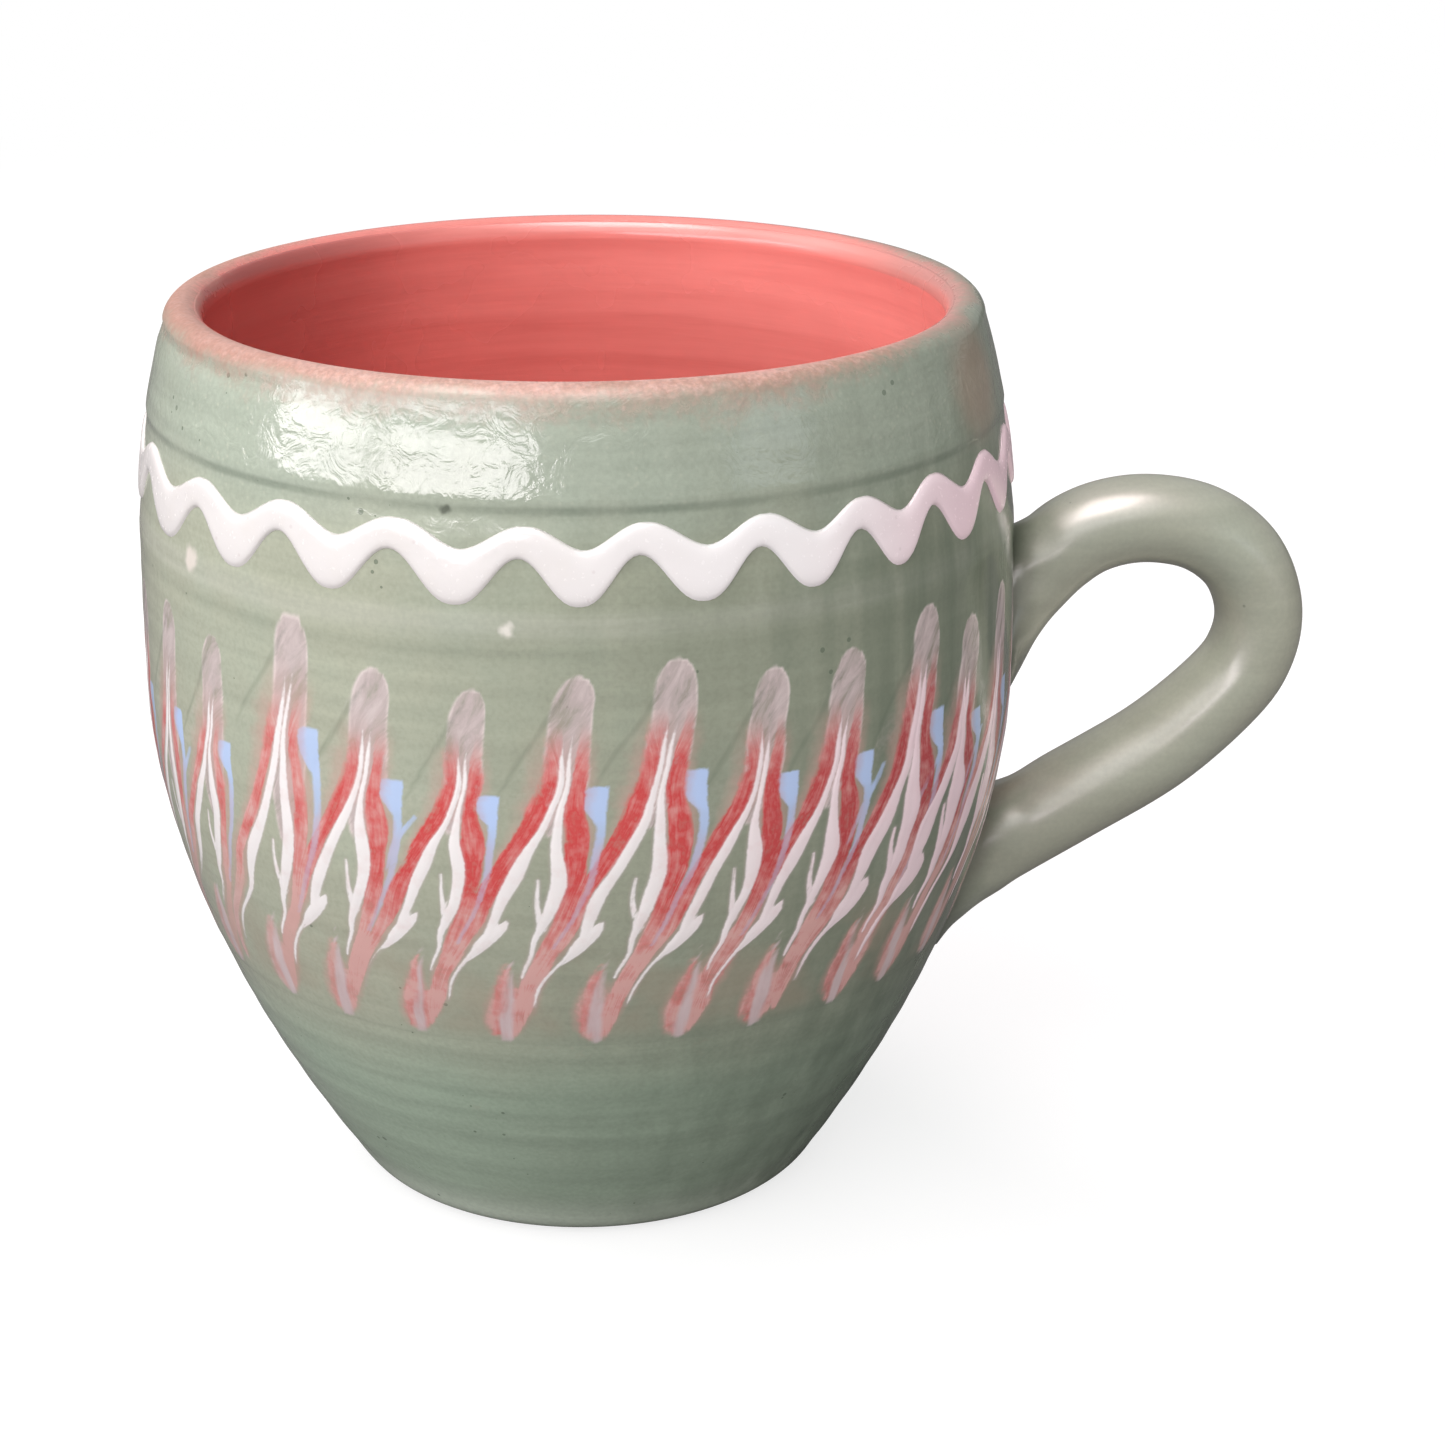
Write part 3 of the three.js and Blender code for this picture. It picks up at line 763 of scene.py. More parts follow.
class MUG_OT_thrown_body(Operator):
    """Turns the barrel with its groove, ridge, lip, inside wall and bare base"""

    bl_idname = "mug.thrown_body"
    bl_label = "Thrown body"

    def execute(self, context):
        s = context.scene.mug_body
        round_lip = s.lip_thickness / 2
        top = lip_base()
        lean = math.atan2(barrel_radius(s.heel_round / 2) - s.foot_radius, s.heel_round / 2)
        heel = s.foot_radius - s.heel_round * math.tan(math.pi / 4 - lean / 2)
        heel_top = s.heel_round * (1 - math.sin(lean))
        base = [(0, 0)] + [(r, 0.0) for r in np.linspace(2 * MM, heel, BASE_RINGS)]
        outside = arc((heel, s.heel_round), s.heel_round, -82, -math.degrees(lean), HEEL_RINGS)
        outside += [(barrel_radius(z), z) for z in np.linspace(heel_top, top, WALL_RINGS)[1:]]
        lip = arc((s.lip_radius - round_lip, top), round_lip, LIP_START, LIP_END, LIP_STEPS)
        inside = [(inner_radius(z), z) for z in np.linspace(top - MM, 20 * MM, INSIDE_RINGS)]
        inside += [(r * MM, s.floor_thickness) for r in (20, 12, 4, 0)]
        profile = base + outside + lip + inside
        row = np.arange(len(profile) - 2)
        lip_row = len(base) + len(outside) - 1

        def wall(angle, height):
            on_wall = (row >= len(base) - 1) & (row < lip_row)
            fade = np.clip(height / (3 * MM), 0, 1) * np.clip((top - height) / (2 * MM), 0, 1)
            moved = wall_radius(angle, height) - barrel_radius(height)
            bent = hand_wobble(angle, height) * (row >= len(base))[:, None]
            return np.where(on_wall[:, None], moved * fade, bent)

        over_lip = np.clip((row - lip_row + LIP_UNDER) / (LIP_STEPS + LIP_UNDER), 0, 1)
        inner_row = len(base) + len(outside) + len(lip)
        mesh = revolved("slipped_body", profile, BODY_SEGMENTS, wall, inner_row, over_lip)
        piece = new_piece("slipped_body", mesh, sage_glaze(), bare_clay())
        for face in mesh.polygons:
            if face.center.z < 0.05 * MM:
                face.material_index = 1
        keep(piece, "sage_glaze", "thrown_body")
        return {"FINISHED"}


class MUG_OT_coral_lining(Operator):
    """Coats the inside with coral slip, wiped to an uneven edge under the lip"""

    bl_idname = "mug.coral_lining"
    bl_label = "Coral lining"

    def execute(self, context):
        s = context.scene.mug_body
        round_lip = s.lip_thickness / 2
        lip = (s.lip_radius - round_lip, lip_base())
        top = lip[1] - MM
        film = 0.04 * MM
        sunk = 0.3 * MM
        floor = s.floor_thickness + s.lining_thickness
        curve = s.floor_round
        heights = np.linspace(floor + curve, top, LINING_RINGS)
        coat = s.lining_thickness * ease(top - heights, 0, LINING_FADE * MM) + film
        wall = list(zip(inner_radius(heights) - coat, heights))
        corner = arc((wall[0][0] - curve, floor + curve), curve, -88, -4, 14)
        over = LINING_OVER_LIP
        wall += arc(lip, round_lip + film, over[0], over[-1], len(over))
        flat = [(r, floor) for r in np.linspace(2 * MM, corner[0][0], 12)[:-1]]
        inner = [(0, floor)] + flat + corner + wall
        edge = arc(lip, round_lip - 0.2 * MM, 126, 186, 5)
        outer = [(inner_radius(z) + sunk, z) for z in np.linspace(top - MM, floor + curve, 12)]
        outer += [(r * MM, s.floor_thickness - sunk) for r in (16, 6, 0)]
        profile = inner + edge + outer
        row = np.arange(len(profile) - 2)

        def uneven(angle, height):
            rings = throwing_rings(-angle, height) * 1.6 * np.clip((top - height) / (6 * MM), 0, 1)
            return np.where(row[:, None] < len(inner), rings, 0.0) + hand_wobble(angle, height)

        over_lip = np.full(len(row), PAST_LIP)
        over_lip[len(inner) - 1 - len(over):len(inner) - 1] = lip_share(over)
        mesh = revolved("coral_coat", profile, LINING_SEGMENTS, uneven, len(inner) + 1, over_lip)
        mesh.flip_normals()
        piece = new_piece("coral_coat", mesh, coral_glaze())
        keep(piece, "coral_slip", "coral_lining")
        return {"FINISHED"}


# Trailed wave: its shift and lead are in degrees, its lag is in radians

WAVE_SHIFT = 0.9
WAVE_LEAD = 7.2
WAVE_LEAD_AT = -95.0
WAVE_LAG = 0.16
WAVE_HAND = 4.0
WAVE_COLUMNS = 22
WAVE_ROWS = 21
WAVE_OUTER_SHARE = 0.75


def wave_tree():
    sockets = {"Wall": "Object", "Slip": "Material", "Waves": "Int"}
    sockets |= dict.fromkeys(("Crest", "Valley", "Arch", "Trough", "Relief", "Hand"), "Float")
    tree, given = geometry_tree("trailed_wave_line", sockets)
    columns = add(tree, "MULTIPLY_ADD", [given["Waves"], WAVE_COLUMNS, 1])
    grid = add(tree, "GeometryNodeMeshGrid", [1, 1, columns, WAVE_ROWS])
    spot = add(tree, "SeparateXYZ", [add(tree, "GeometryNodeInputPosition")]).outputs
    angle = add(tree, "MULTIPLY", [spot["X"], 2 * math.pi])
    cosine, sine = (add(tree, way, [angle]) for way in ("COSINE", "SINE"))

    # The trailing hand drifts: phase, height and width of the line wander round the mug
    hand = add(tree, "CombineXYZ", [cosine, sine, given["Hand"]])
    drift = add(tree, "TexNoise", [hand, 2.6, 1])
    sway = add(tree, "ADD", [drift, -0.5])
    lead = add(tree, "SUBTRACT", [angle, math.radians(WAVE_LEAD_AT)])
    lead = add(tree, "COSINE", [lead])
    shifts = [math.radians(-v) for v in (WAVE_LEAD, WAVE_SHIFT)]
    lead = add(tree, "MULTIPLY_ADD", [lead, *shifts])
    turn = add(tree, "ADD", [angle, lead])
    turn = add(tree, "MULTIPLY", [turn, given["Waves"]])
    turn = add(tree, "MULTIPLY_ADD", [sway, 0.9, turn])
    half = add(tree, "MULTIPLY", [turn, 0.5])
    swing = add(tree, "COSINE", [half])
    swing = add(tree, "MULTIPLY_ADD", [swing, swing, 0.03])
    lagged = add(tree, "ADD", [half, WAVE_LAG])
    lagged = add(tree, "COSINE", [lagged])
    arched = add(tree, "MULTIPLY", [lagged, lagged])
    arched = add(tree, "POWER", [arched, 1.25])
    peaked = add(tree, "POWER", [swing, 0.8])
    high = add(tree, "MapRange", {"Value": peaked, "To Min": given["Valley"], "To Max": given["Crest"]})
    low = add(tree, "MapRange", {"Value": arched, "To Min": given["Trough"], "To Max": given["Arch"]})
    lift = add(tree, "MULTIPLY", [sway, 0.9 * MM])

    # Round the section: the first part of the grid is the domed face, the rest lies inside the wall
    around = add(tree, "ADD", [spot["Y"], 0.5])
    front = add(tree, "MapRange", [around, 0, WAVE_OUTER_SHARE])
    back = add(tree, "MapRange", [around, 1.0, WAVE_OUTER_SHARE])
    hidden = add(tree, "GREATER_THAN", [around, WAVE_OUTER_SHARE + 0.01])
    across = add(tree, "Mix", [hidden, front, back], data_type="FLOAT")
    rise = add(tree, "MapRange", {"Value": across, "To Min": low, "To Max": high})
    rise = add(tree, "ADD", [rise, lift])
    centred = add(tree, "MULTIPLY_ADD", [across, 2.0, -1.0])
    edged = add(tree, "ABSOLUTE", [centred])
    edged = add(tree, "POWER", [edged, 4.0])
    dome = add(tree, "SUBTRACT", [1.0, edged], use_clamp=True)
    dome = add(tree, "POWER", [dome, 0.6])
    proud = add(tree, "MapRange", {"Value": dome, "To Min": -0.05 * MM, "To Max": given["Relief"]})
    depth = add(tree, "Mix", [hidden, proud, -0.4 * MM], data_type="FLOAT")

    # Lay each point on the wall with a ray towards the axis
    far = 80 * MM
    start = [add(tree, "MULTIPLY", [way, far]) for way in (cosine, sine)]
    start = add(tree, "CombineXYZ", [*start, rise])
    inward = [add(tree, "MULTIPLY", [way, -1]) for way in (cosine, sine)]
    inward = add(tree, "CombineXYZ", inward)
    wall = add(tree, "GeometryNodeObjectInfo", {"Object": given["Wall"]})
    ray = add(tree, "GeometryNodeRaycast", {
        "Target Geometry": wall.outputs["Geometry"], "Source Position": start,
        "Ray Direction": inward, "Ray Length": far,
    })
    out = add(tree, "VectorMath", [inward, depth], operation="SCALE")
    place = add(tree, "VectorMath", [ray.outputs["Hit Position"], out], operation="SUBTRACT")
    laid = add(tree, "GeometryNodeSetPosition", {"Geometry": grid.outputs["Mesh"], "Position": place})
    real = add(tree, "GeometryNodeRealizeInstances", {"Geometry": laid})
    coat = add(tree, "GeometryNodeSetMaterial", {"Geometry": real, "Material": given["Slip"]})
    add(tree, "NodeGroupOutput", {"Geometry": coat})
    return tree


class MUG_OT_white_wave_line(Operator):
    """Trails the raised white wave round the wall under the groove"""

    bl_idname = "mug.white_wave_line"
    bl_label = "White wave line"

    def execute(self, context):
        w = context.scene.mug_wave
        piece = new_piece("trailed_wave", bpy.data.meshes.new("trailed_wave"))
        values = {
            "Wall": bpy.data.objects["slipped_body"], "Slip": white_glaze(), "Waves": w.count,
            "Crest": w.crest, "Valley": w.valley, "Arch": w.arch, "Trough": w.trough,
            "Relief": w.relief, "Hand": WAVE_HAND,
        }
        run_tree(piece, wave_tree(), values)
        keep(piece, "white_slip", "white_wave_line")
        return {"FINISHED"}


# Pulled handle: its middle line as (distance from the axis, height) in mm, both ends inside the wall

HANDLE_LINE = (
    (36.8, 54.0), (40.6, 57.6), (45.2, 62.0), (50.6, 67.0), (54.8, 69.3), (60.0, 70.0), (65.6, 68.8),
    (70.0, 65.4), (72.1, 60.4), (71.7, 55.5), (69.0, 51.0), (62.0, 44.5), (52.9, 38.8),
    (43.6, 33.3), (36.0, 28.8), (30.0, 25.2),
)
HANDLE_STEPS = 220
HANDLE_SIDES = 56
BURIED = 1.4


def handle_tree():
    sizes = (
        "Thickness", "Width", "Swell", "Fillet", "Fillet reach", "Upper tail", "Lower tail", "Tail reach",
    )
    sockets = {"Line": "Geometry", "Wall": "Object", "Clay": "Material"} | dict.fromkeys(sizes, "Float")
    tree, given = geometry_tree("pulled_handle_loop", sockets)
    line = add(tree, "GeometryNodeMeshToCurve", {"Mesh": given["Line"]})
    line = add(tree, "GeometryNodeCurveSplineType", {"Curve": line}, spline_type="CATMULL_ROM")
    line = add(tree, "GeometryNodeSetSplineResolution", {"Geometry": line, "Resolution": 16})
    line = add(tree, "GeometryNodeResampleCurve", {"Curve": line, "Count": HANDLE_STEPS})
    share = add(tree, "GeometryNodeSplineParameter").outputs["Factor"]
    tangent = add(tree, "GeometryNodeInputTangent")
    for name, value, kind in (("along", share, "FLOAT"), ("pull", tangent, "FLOAT_VECTOR")):
        kept = {"Geometry": line, "Name": name, "Value": value}
        line = add(tree, "GeometryNodeStoreNamedAttribute", kept, data_type=kind, domain="POINT")
    fuller = add(tree, "MapRange", [share, 0.42, 0.7], **SMOOTH)
    fuller = add(tree, "MULTIPLY_ADD", [fuller, given["Swell"], 1.0])
    ring = add(tree, "GeometryNodeCurvePrimitiveCircle", {"Resolution": HANDLE_SIDES, "Radius": 0.5})
    oval = add(tree, "CombineXYZ", [given["Width"], given["Thickness"], 1.0])
    ring = add(tree, "GeometryNodeTransform", {"Geometry": ring.outputs["Curve"], "Scale": oval})
    strap = {"Curve": line, "Profile Curve": ring, "Scale": fuller, "Fill Caps": True}
    tube = add(tree, "GeometryNodeCurveToMesh", strap)

    # How far each point is from the wall, by a level ray towards the axis
    far = 120 * MM
    wall = add(tree, "GeometryNodeObjectInfo", {"Object": given["Wall"]}).outputs["Geometry"]
    spot = add(tree, "GeometryNodeInputPosition")
    level = add(tree, "VectorMath", [spot, (1, 1, 0)], operation="MULTIPLY")
    outward = add(tree, "VectorMath", [level], operation="NORMALIZE")
    reach = add(tree, "VectorMath", [level], operation="LENGTH").outputs["Value"]
    upright = add(tree, "VectorMath", [spot, (0, 0, 1)], operation="MULTIPLY")
    start = add(tree, "VectorMath", [outward, (far, far, far), upright], operation="MULTIPLY_ADD")
    inward = add(tree, "VectorMath", [outward, (-1, -1, -1)], operation="MULTIPLY")
    ray = add(tree, "GeometryNodeRaycast", {
        "Target Geometry": wall, "Source Position": start, "Ray Direction": inward, "Ray Length": far,
    })
    edge = add(tree, "SUBTRACT", [far, ray.outputs["Hit Distance"]])
    gap = add(tree, "SUBTRACT", [reach, edge])
    clear = add(tree, "MAXIMUM", [gap, 0.0])

    # The last 3 mm before the wall are kept as a crease, for painted shade and pooled glaze at the roots
    crease = add(tree, "MapRange", [clear, 0, 3 * MM, 1.0, 0.0])
    kept = {"Geometry": tube, "Name": "crease", "Value": crease}
    tube = add(tree, "GeometryNodeStoreNamedAttribute", kept, data_type="FLOAT", domain="POINT")

    # Luted roots: a fillet all round, and clay wiped down the wall underneath
    normal = add(tree, "GeometryNodeInputNormal")
    lean = add(tree, "VectorMath", [normal, outward], operation="DOT_PRODUCT").outputs["Value"]
    lean = add(tree, "VectorMath", [outward, lean], operation="SCALE")
    spread_way = add(tree, "VectorMath", [normal, lean], operation="SUBTRACT")
    spread_way = add(tree, "VectorMath", [spread_way], operation="NORMALIZE")
    down = add(tree, "SeparateXYZ", [normal]).outputs["Z"]
    under = add(tree, "MapRange", [down, 0.2, -0.7], **SMOOTH)
    near, low = (
        add(tree, "DIVIDE", [clear, given[name]]) for name in ("Fillet reach", "Tail reach")
    )
    near, low = (add(tree, "POWER", [math.exp(-1), part]) for part in (near, low))
    low = add(tree, "MULTIPLY", [low, under])
    along = add(tree, "GeometryNodeInputNamedAttribute", {"Name": "along"}, data_type="FLOAT")
    lower = add(tree, "GREATER_THAN", [along.outputs["Attribute"], 0.5])
    tail = add(tree, "Mix", [lower, given["Upper tail"], given["Lower tail"]], data_type="FLOAT")
    spread = add(tree, "MULTIPLY", [near, given["Fillet"]])
    spread = add(tree, "MULTIPLY_ADD", [low, tail, spread])
    push = add(tree, "VectorMath", [spread_way, spread], operation="SCALE")

    # Thumb marks 4 mm across in the clay pressed on round the roots
    thumbed = add(tree, "TexNoise", [spot, per_mm(4), 0])
    thumbed = add(tree, "ADD", [thumbed, -0.5])
    pressed = add(tree, "MapRange", [clear, 0, 8 * MM, 1.2 * MM, 0.0])
    thumbed = add(tree, "MULTIPLY", [thumbed, pressed])
    thumbed = add(tree, "VectorMath", [normal, thumbed], operation="SCALE")
    push = add(tree, "VectorMath", [push, thumbed], operation="ADD")
    tube = add(tree, "GeometryNodeSetPosition", {"Geometry": tube, "Offset": push})

    # Each buried point slides back along the strap until it lies just inside the wall
    pull = add(tree, "GeometryNodeInputNamedAttribute", {"Name": "pull"}, data_type="FLOAT_VECTOR")
    pull = pull.outputs["Attribute"]
    facing = add(tree, "VectorMath", [pull, outward], operation="DOT_PRODUCT").outputs["Value"]
    facing = add(tree, "SIGN", [facing])
    away = add(tree, "VectorMath", [pull, facing], operation="SCALE")
    back_start = add(tree, "VectorMath", [away, (far, far, far), spot], operation="MULTIPLY_ADD")
    homeward = add(tree, "VectorMath", [away, (-1, -1, -1)], operation="MULTIPLY")
    back = add(tree, "GeometryNodeRaycast", {
        "Target Geometry": wall, "Source Position": back_start, "Ray Direction": homeward, "Ray Length": far,
    })
    slope = add(tree, "VectorMath", [away, outward], operation="DOT_PRODUCT").outputs["Value"]
    sunk = add(tree, "DIVIDE", [BURIED * MM, slope])
    sink = add(tree, "VectorMath", [homeward, sunk], operation="SCALE")
    stop = add(tree, "VectorMath", [back.outputs["Hit Position"], sink], operation="ADD")
    deep = add(tree, "LESS_THAN", [gap, -BURIED * MM])
    deep = add(tree, "FunctionNodeBooleanMath", [deep, back.outputs["Is Hit"]], operation="AND")
    tube = add(tree, "GeometryNodeSetPosition", {"Geometry": tube, "Selection": deep, "Position": stop})
    real = add(tree, "GeometryNodeRealizeInstances", {"Geometry": tube})
    coat = add(tree, "GeometryNodeSetMaterial", {"Geometry": real, "Material": given["Clay"]})
    add(tree, "NodeGroupOutput", {"Geometry": coat})
    return tree


class MUG_OT_pulled_handle(Operator):
    """Pulls the ear handle along its loop and lutes both roots to the wall"""

    bl_idname = "mug.pulled_handle"
    bl_label = "Pulled handle"

    def execute(self, context):
        h = context.scene.mug_handle
        mesh = bpy.data.meshes.new("luted_handle")
        points = [(x * MM, 0.0, z * MM) for x, z in HANDLE_LINE]
        mesh.from_pydata(points, [(i, i + 1) for i in range(len(points) - 1)], [])
        piece = new_piece("luted_handle", mesh)
        values = {
            "Wall": bpy.data.objects["slipped_body"], "Clay": handle_glaze(), "Thickness": h.thickness,
            "Width": h.width, "Swell": h.swell, "Fillet": h.fillet, "Fillet reach": h.fillet_reach,
            "Upper tail": h.upper_tail, "Lower tail": h.lower_tail, "Tail reach": h.tail_reach,
        }
        run_tree(piece, handle_tree(), values)
        keep(piece, "sage_glaze", "pulled_handle", "upper_luting_coil", "lower_luting_coil")
        return {"FINISHED"}


# Feathered band: trails are (height in mm, degrees from the feather's cap, width in degrees)

LEFT_WHITE = np.array([
    (34.4, -17.4, 0.2), (36.3, -16.6, 0.4), (38.5, -14.9, 0.5), (40.7, -12.4, 0.7), (42.1, -10.9, 0.9),
    (44.3, -9.8, 1.3), (48.0, -7.9, 1.8), (51.8, -5.25, 1.4), (55.4, -3.0, 0.9), (59.2, -1.75, 0.65),
    (63.4, -1.1, 0.35),
])
RIGHT_WHITE = np.array([
    (37.7, -7.0, 0.25), (38.8, -6.5, 0.45), (40.7, -5.2, 0.6), (42.4, -4.7, 0.9), (43.8, -4.0, 1.2),
    (46.0, -2.9, 1.5), (50.4, -1.9, 1.9), (53.2, -2.0, 1.2), (55.9, -1.7, 0.75), (60.1, -0.8, 0.55),
    (63.8, 0.0, 0.35),
])
THREAD = np.array([(43.4, -4.0, 1.1), (45.0, -4.4, 0.8), (46.8, -4.6, 0.5), (49.0, -4.5, 0.3)])
LEAF = np.array([
    (39.8, -12.9, 0.3), (40.8, -11.9, 1.7), (41.9, -10.7, 2.3), (43.0, -9.5, 2.1), (43.9, -8.6, 1.2),
    (44.4, -8.2, 0.2),
])
LEFT_RED = np.array([
    (31.2, -20.2, 0.8), (34.0, -19.3, 1.8), (37.4, -17.5, 2.2), (43.2, -12.6, 2.6), (46.8, -10.8, 2.7),
    (49.0, -9.25, 2.6), (52.0, -6.85, 2.7), (55.9, -4.2, 2.8), (59.2, -2.9, 2.6), (63.0, -2.2, 2.2),
    (65.5, -1.9, 1.1),
])
RIGHT_RED = np.array([
    (30.6, -8.6, 1.2), (33.0, -7.6, 2.4), (37.4, -5.5, 2.7), (41.5, -3.0, 2.5), (44.9, -1.5, 2.5),
    (49.0, -0.3, 2.6), (53.2, 0.35, 3.4), (57.0, -0.05, 2.1), (61.4, 0.95, 1.9), (65.5, 1.75, 0.9),
])
FOOT = np.array([
    (30.0, -9.9, 2.4), (31.5, -10.2, 3.6), (33.5, -10.2, 3.8), (36.0, -9.7, 2.8), (39.6, -8.6, 0.6),
])
FLAME = np.array([
    (29.6, -9.7, 1.5), (31.5, -9.6, 2.0), (34.5, -9.2, 1.7), (37.5, -8.6, 1.0), (41.0, -7.7, 0.25),
])
CAP = np.array([
    (53.5, -3.0, 0.5), (57.0, -1.7, 4.2), (60.5, -0.9, 5.2), (63.5, -0.5, 5.0), (65.5, -0.1, 4.9),
    (67.2, 0.1, 4.5), (68.2, 0.2, 3.6), (68.8, 0.25, 2.6), (69.3, 0.3, 1.0),
])
VEIL = np.array([
    (52.5, -9.4, 1.0), (55.0, -8.2, 3.0), (59.1, -6.0, 3.4), (62.5, -3.8, 2.2), (65.5, -2.6, 1.6),
    (67.5, -1.6, 0.6),
])
DRAG = np.array([
    (57.0, -9.2, 0.3), (59.6, -7.4, 0.7), (63.3, -4.2, 0.8), (66.4, -1.7, 0.7), (68.0, -0.4, 0.3),
])
BLUE_TAIL = np.array([
    (41.3, -2.5, 0.45), (44.0, -0.8, 0.6), (46.5, 0.55, 0.7), (49.6, 1.9, 0.85), (52.6, 2.8, 1.0),
    (55.4, 3.0, 1.1), (56.2, 3.0, 1.1),
])
BLUE_DAB = np.array([(55.0, 2.9, 1.2), (55.7, 2.5, 2.1), (56.5, 2.2, 2.7), (58.5, 2.2, 2.8)])
BLUE_STREAK = np.array([(48.6, -12.3, 0.2), (50.7, -11.2, 0.6), (53.2, -9.3, 0.9), (55.6, -7.2, 0.7)])

# Caps that show on the front: angle in degrees and height in mm
SEEN_CAPS = (
    (-153.2, 69.0), (-141.4, 68.0), (-126.8, 72.6), (-115.6, 68.8), (-103.5, 67.7), (-91.1, 69.2),
    (-79.1, 70.5), (-67.3, 68.6), (-56.4, 68.9), (-43.0, 70.8), (-32.7, 67.7),
)
CAP_TOP = 69.3
HAND_SEED = 11

# A feather's slips lie within a reach of its middle, in degrees; absent slips are far off, in mm
FEATHER_MIDDLE = -5
FEATHER_REACH = 19
FAR_OFF = 3.0
BAND_ROWS = 71
BAND_STRIPS = 5
STRIP_EDGE = 0.004
STRIP_GAP = 0.01
FLOW_RADIUS = 45.0
FLOW_STEP = 0.37

# Mesh columns between the edges of a feather's trails, from the middle of one gap to the next
EDGE_COLUMNS = (6, 6, 4, 9, 5, 4, 6, 7)


def smooth(x, knots, values):
    """A smooth curve through a trail's points."""
    slopes = np.gradient(values, knots)
    i = np.clip(np.searchsorted(knots, x) - 1, 0, len(knots) - 2)
    span = knots[i + 1] - knots[i]
    t = np.clip((x - knots[i]) / span, 0, 1)
    start = (1 + 2 * t) * (1 - t) ** 2 * values[i] + t * (1 - t) ** 2 * span * slopes[i]
    return start + t**2 * (3 - 2 * t) * values[i + 1] + t**2 * (t - 1) * span * slopes[i + 1]


def middle(trail, height):
    return smooth(height, trail[:, 0], trail[:, 1])


def half_width(trail, height):
    return smooth(height, trail[:, 0], trail[:, 2]) / 2


def trail_distance(trail, offset, height, degree, uneven=1.0):
    """Millimetres from the edge of a trail, negative inside it."""
    side = (np.abs(offset - middle(trail, height)) - half_width(trail, height) * uneven) * degree
    beyond = np.maximum(height - trail[-1, 0], trail[0, 0] - height)
    return np.maximum(side, beyond)


def trail_cover(trail, offset, height, degree, soft_left, soft_right, uneven=1.0):
    """Share of slip in a trail, with a soft left edge and a soft right edge in millimetres."""
    across = (offset - middle(trail, height)) * degree
    half = half_width(trail, height) * degree * uneven
    left = ease(across + half, -soft_left / 2, soft_left / 2)
    right = ease(half - across, -soft_right / 2, soft_right / 2)
    beyond = np.maximum(height - trail[-1, 0], trail[0, 0] - height)
    return left * right * ease(-beyond, -0.4, 0.4)


def feather_places(units):
    """Angle and cap height of every feather: those on the front as listed, the rest by a steady hand."""
    draw = np.random.default_rng(HAND_SEED)
    regular = SEEN_CAPS[0][0] + 360 / units * np.arange(units)
    angles = regular + draw.uniform(-0.9, 0.9, units)
    tops = CAP_TOP + draw.uniform(-1.6, 1.8, units)
    angles[:len(SEEN_CAPS)] = [a for a, _ in SEEN_CAPS]
    tops[:len(SEEN_CAPS)] = [t for _, t in SEEN_CAPS]
    return regular, angles, tops, draw


def local_height(height, top):
    """Stretches a feather's upper half so that its cap ends at its own height."""
    return height - (top - CAP_TOP) * ease(height, 48, 63)


def feather_centre(regular, own, height):
    """Middle of a feather in degrees: feet keep closer to the even pitch than caps do."""
    return regular + (own - regular) * (0.85 + 0.15 * ease(height, 36, 60))


def band_columns(heights, regular, angles, tops):
    """Angles of the mesh columns, which follow the edges of the trails in every feather."""
    # The edges are held between 33 and 66 mm, and above 59 mm they give way to even columns
    edges = []
    for even_place, angle, top in zip(regular, angles, tops):
        z = local_height(heights, top)
        held = np.clip(z, 33, 66)
        left_red, left_white, right_white, right_red = (
            [middle(trail, held) + way * half_width(trail, held) for way in (-1, 1)]
            for trail in (LEFT_RED, LEFT_WHITE, RIGHT_WHITE, RIGHT_RED)
        )
        thread = middle(THREAD, np.clip(z, THREAD[0, 0], THREAD[-1, 0]))
        thread = np.minimum(thread, right_white[0] - 0.4)
        parts = [left_red[0], *left_white, thread, *right_white, right_red[1]]
        centre = feather_centre(even_place, angle, heights)
        edges.append([centre + p for p in parts])
    starts = [(edges[k - 1][-1] - (0 if k else 360) + parts[0]) / 2 for k, parts in enumerate(edges)]
    starts.append(starts[0] + 360)
    columns = []
    even = ease(heights, 59, 65)
    shares = np.cumsum((0,) + EDGE_COLUMNS) / sum(EDGE_COLUMNS)
    for start, end, parts in zip(starts, starts[1:], edges):
        gap = (end - start) * 0.02
        held = [start]
        for remaining, part in zip(range(len(parts), 0, -1), parts):
            held.append(np.clip(np.maximum(part, held[-1] + gap), None, end - gap * remaining))
        held.append(end)
        held = [h + ((start + (end - start) * q) - h) * even for h, q in zip(held, shares)]
        for here, beside, count in zip(held, held[1:], EDGE_COLUMNS):
            columns += [here + (beside - here) * i / count for i in range(count)]
    return np.stack(columns, axis=1)


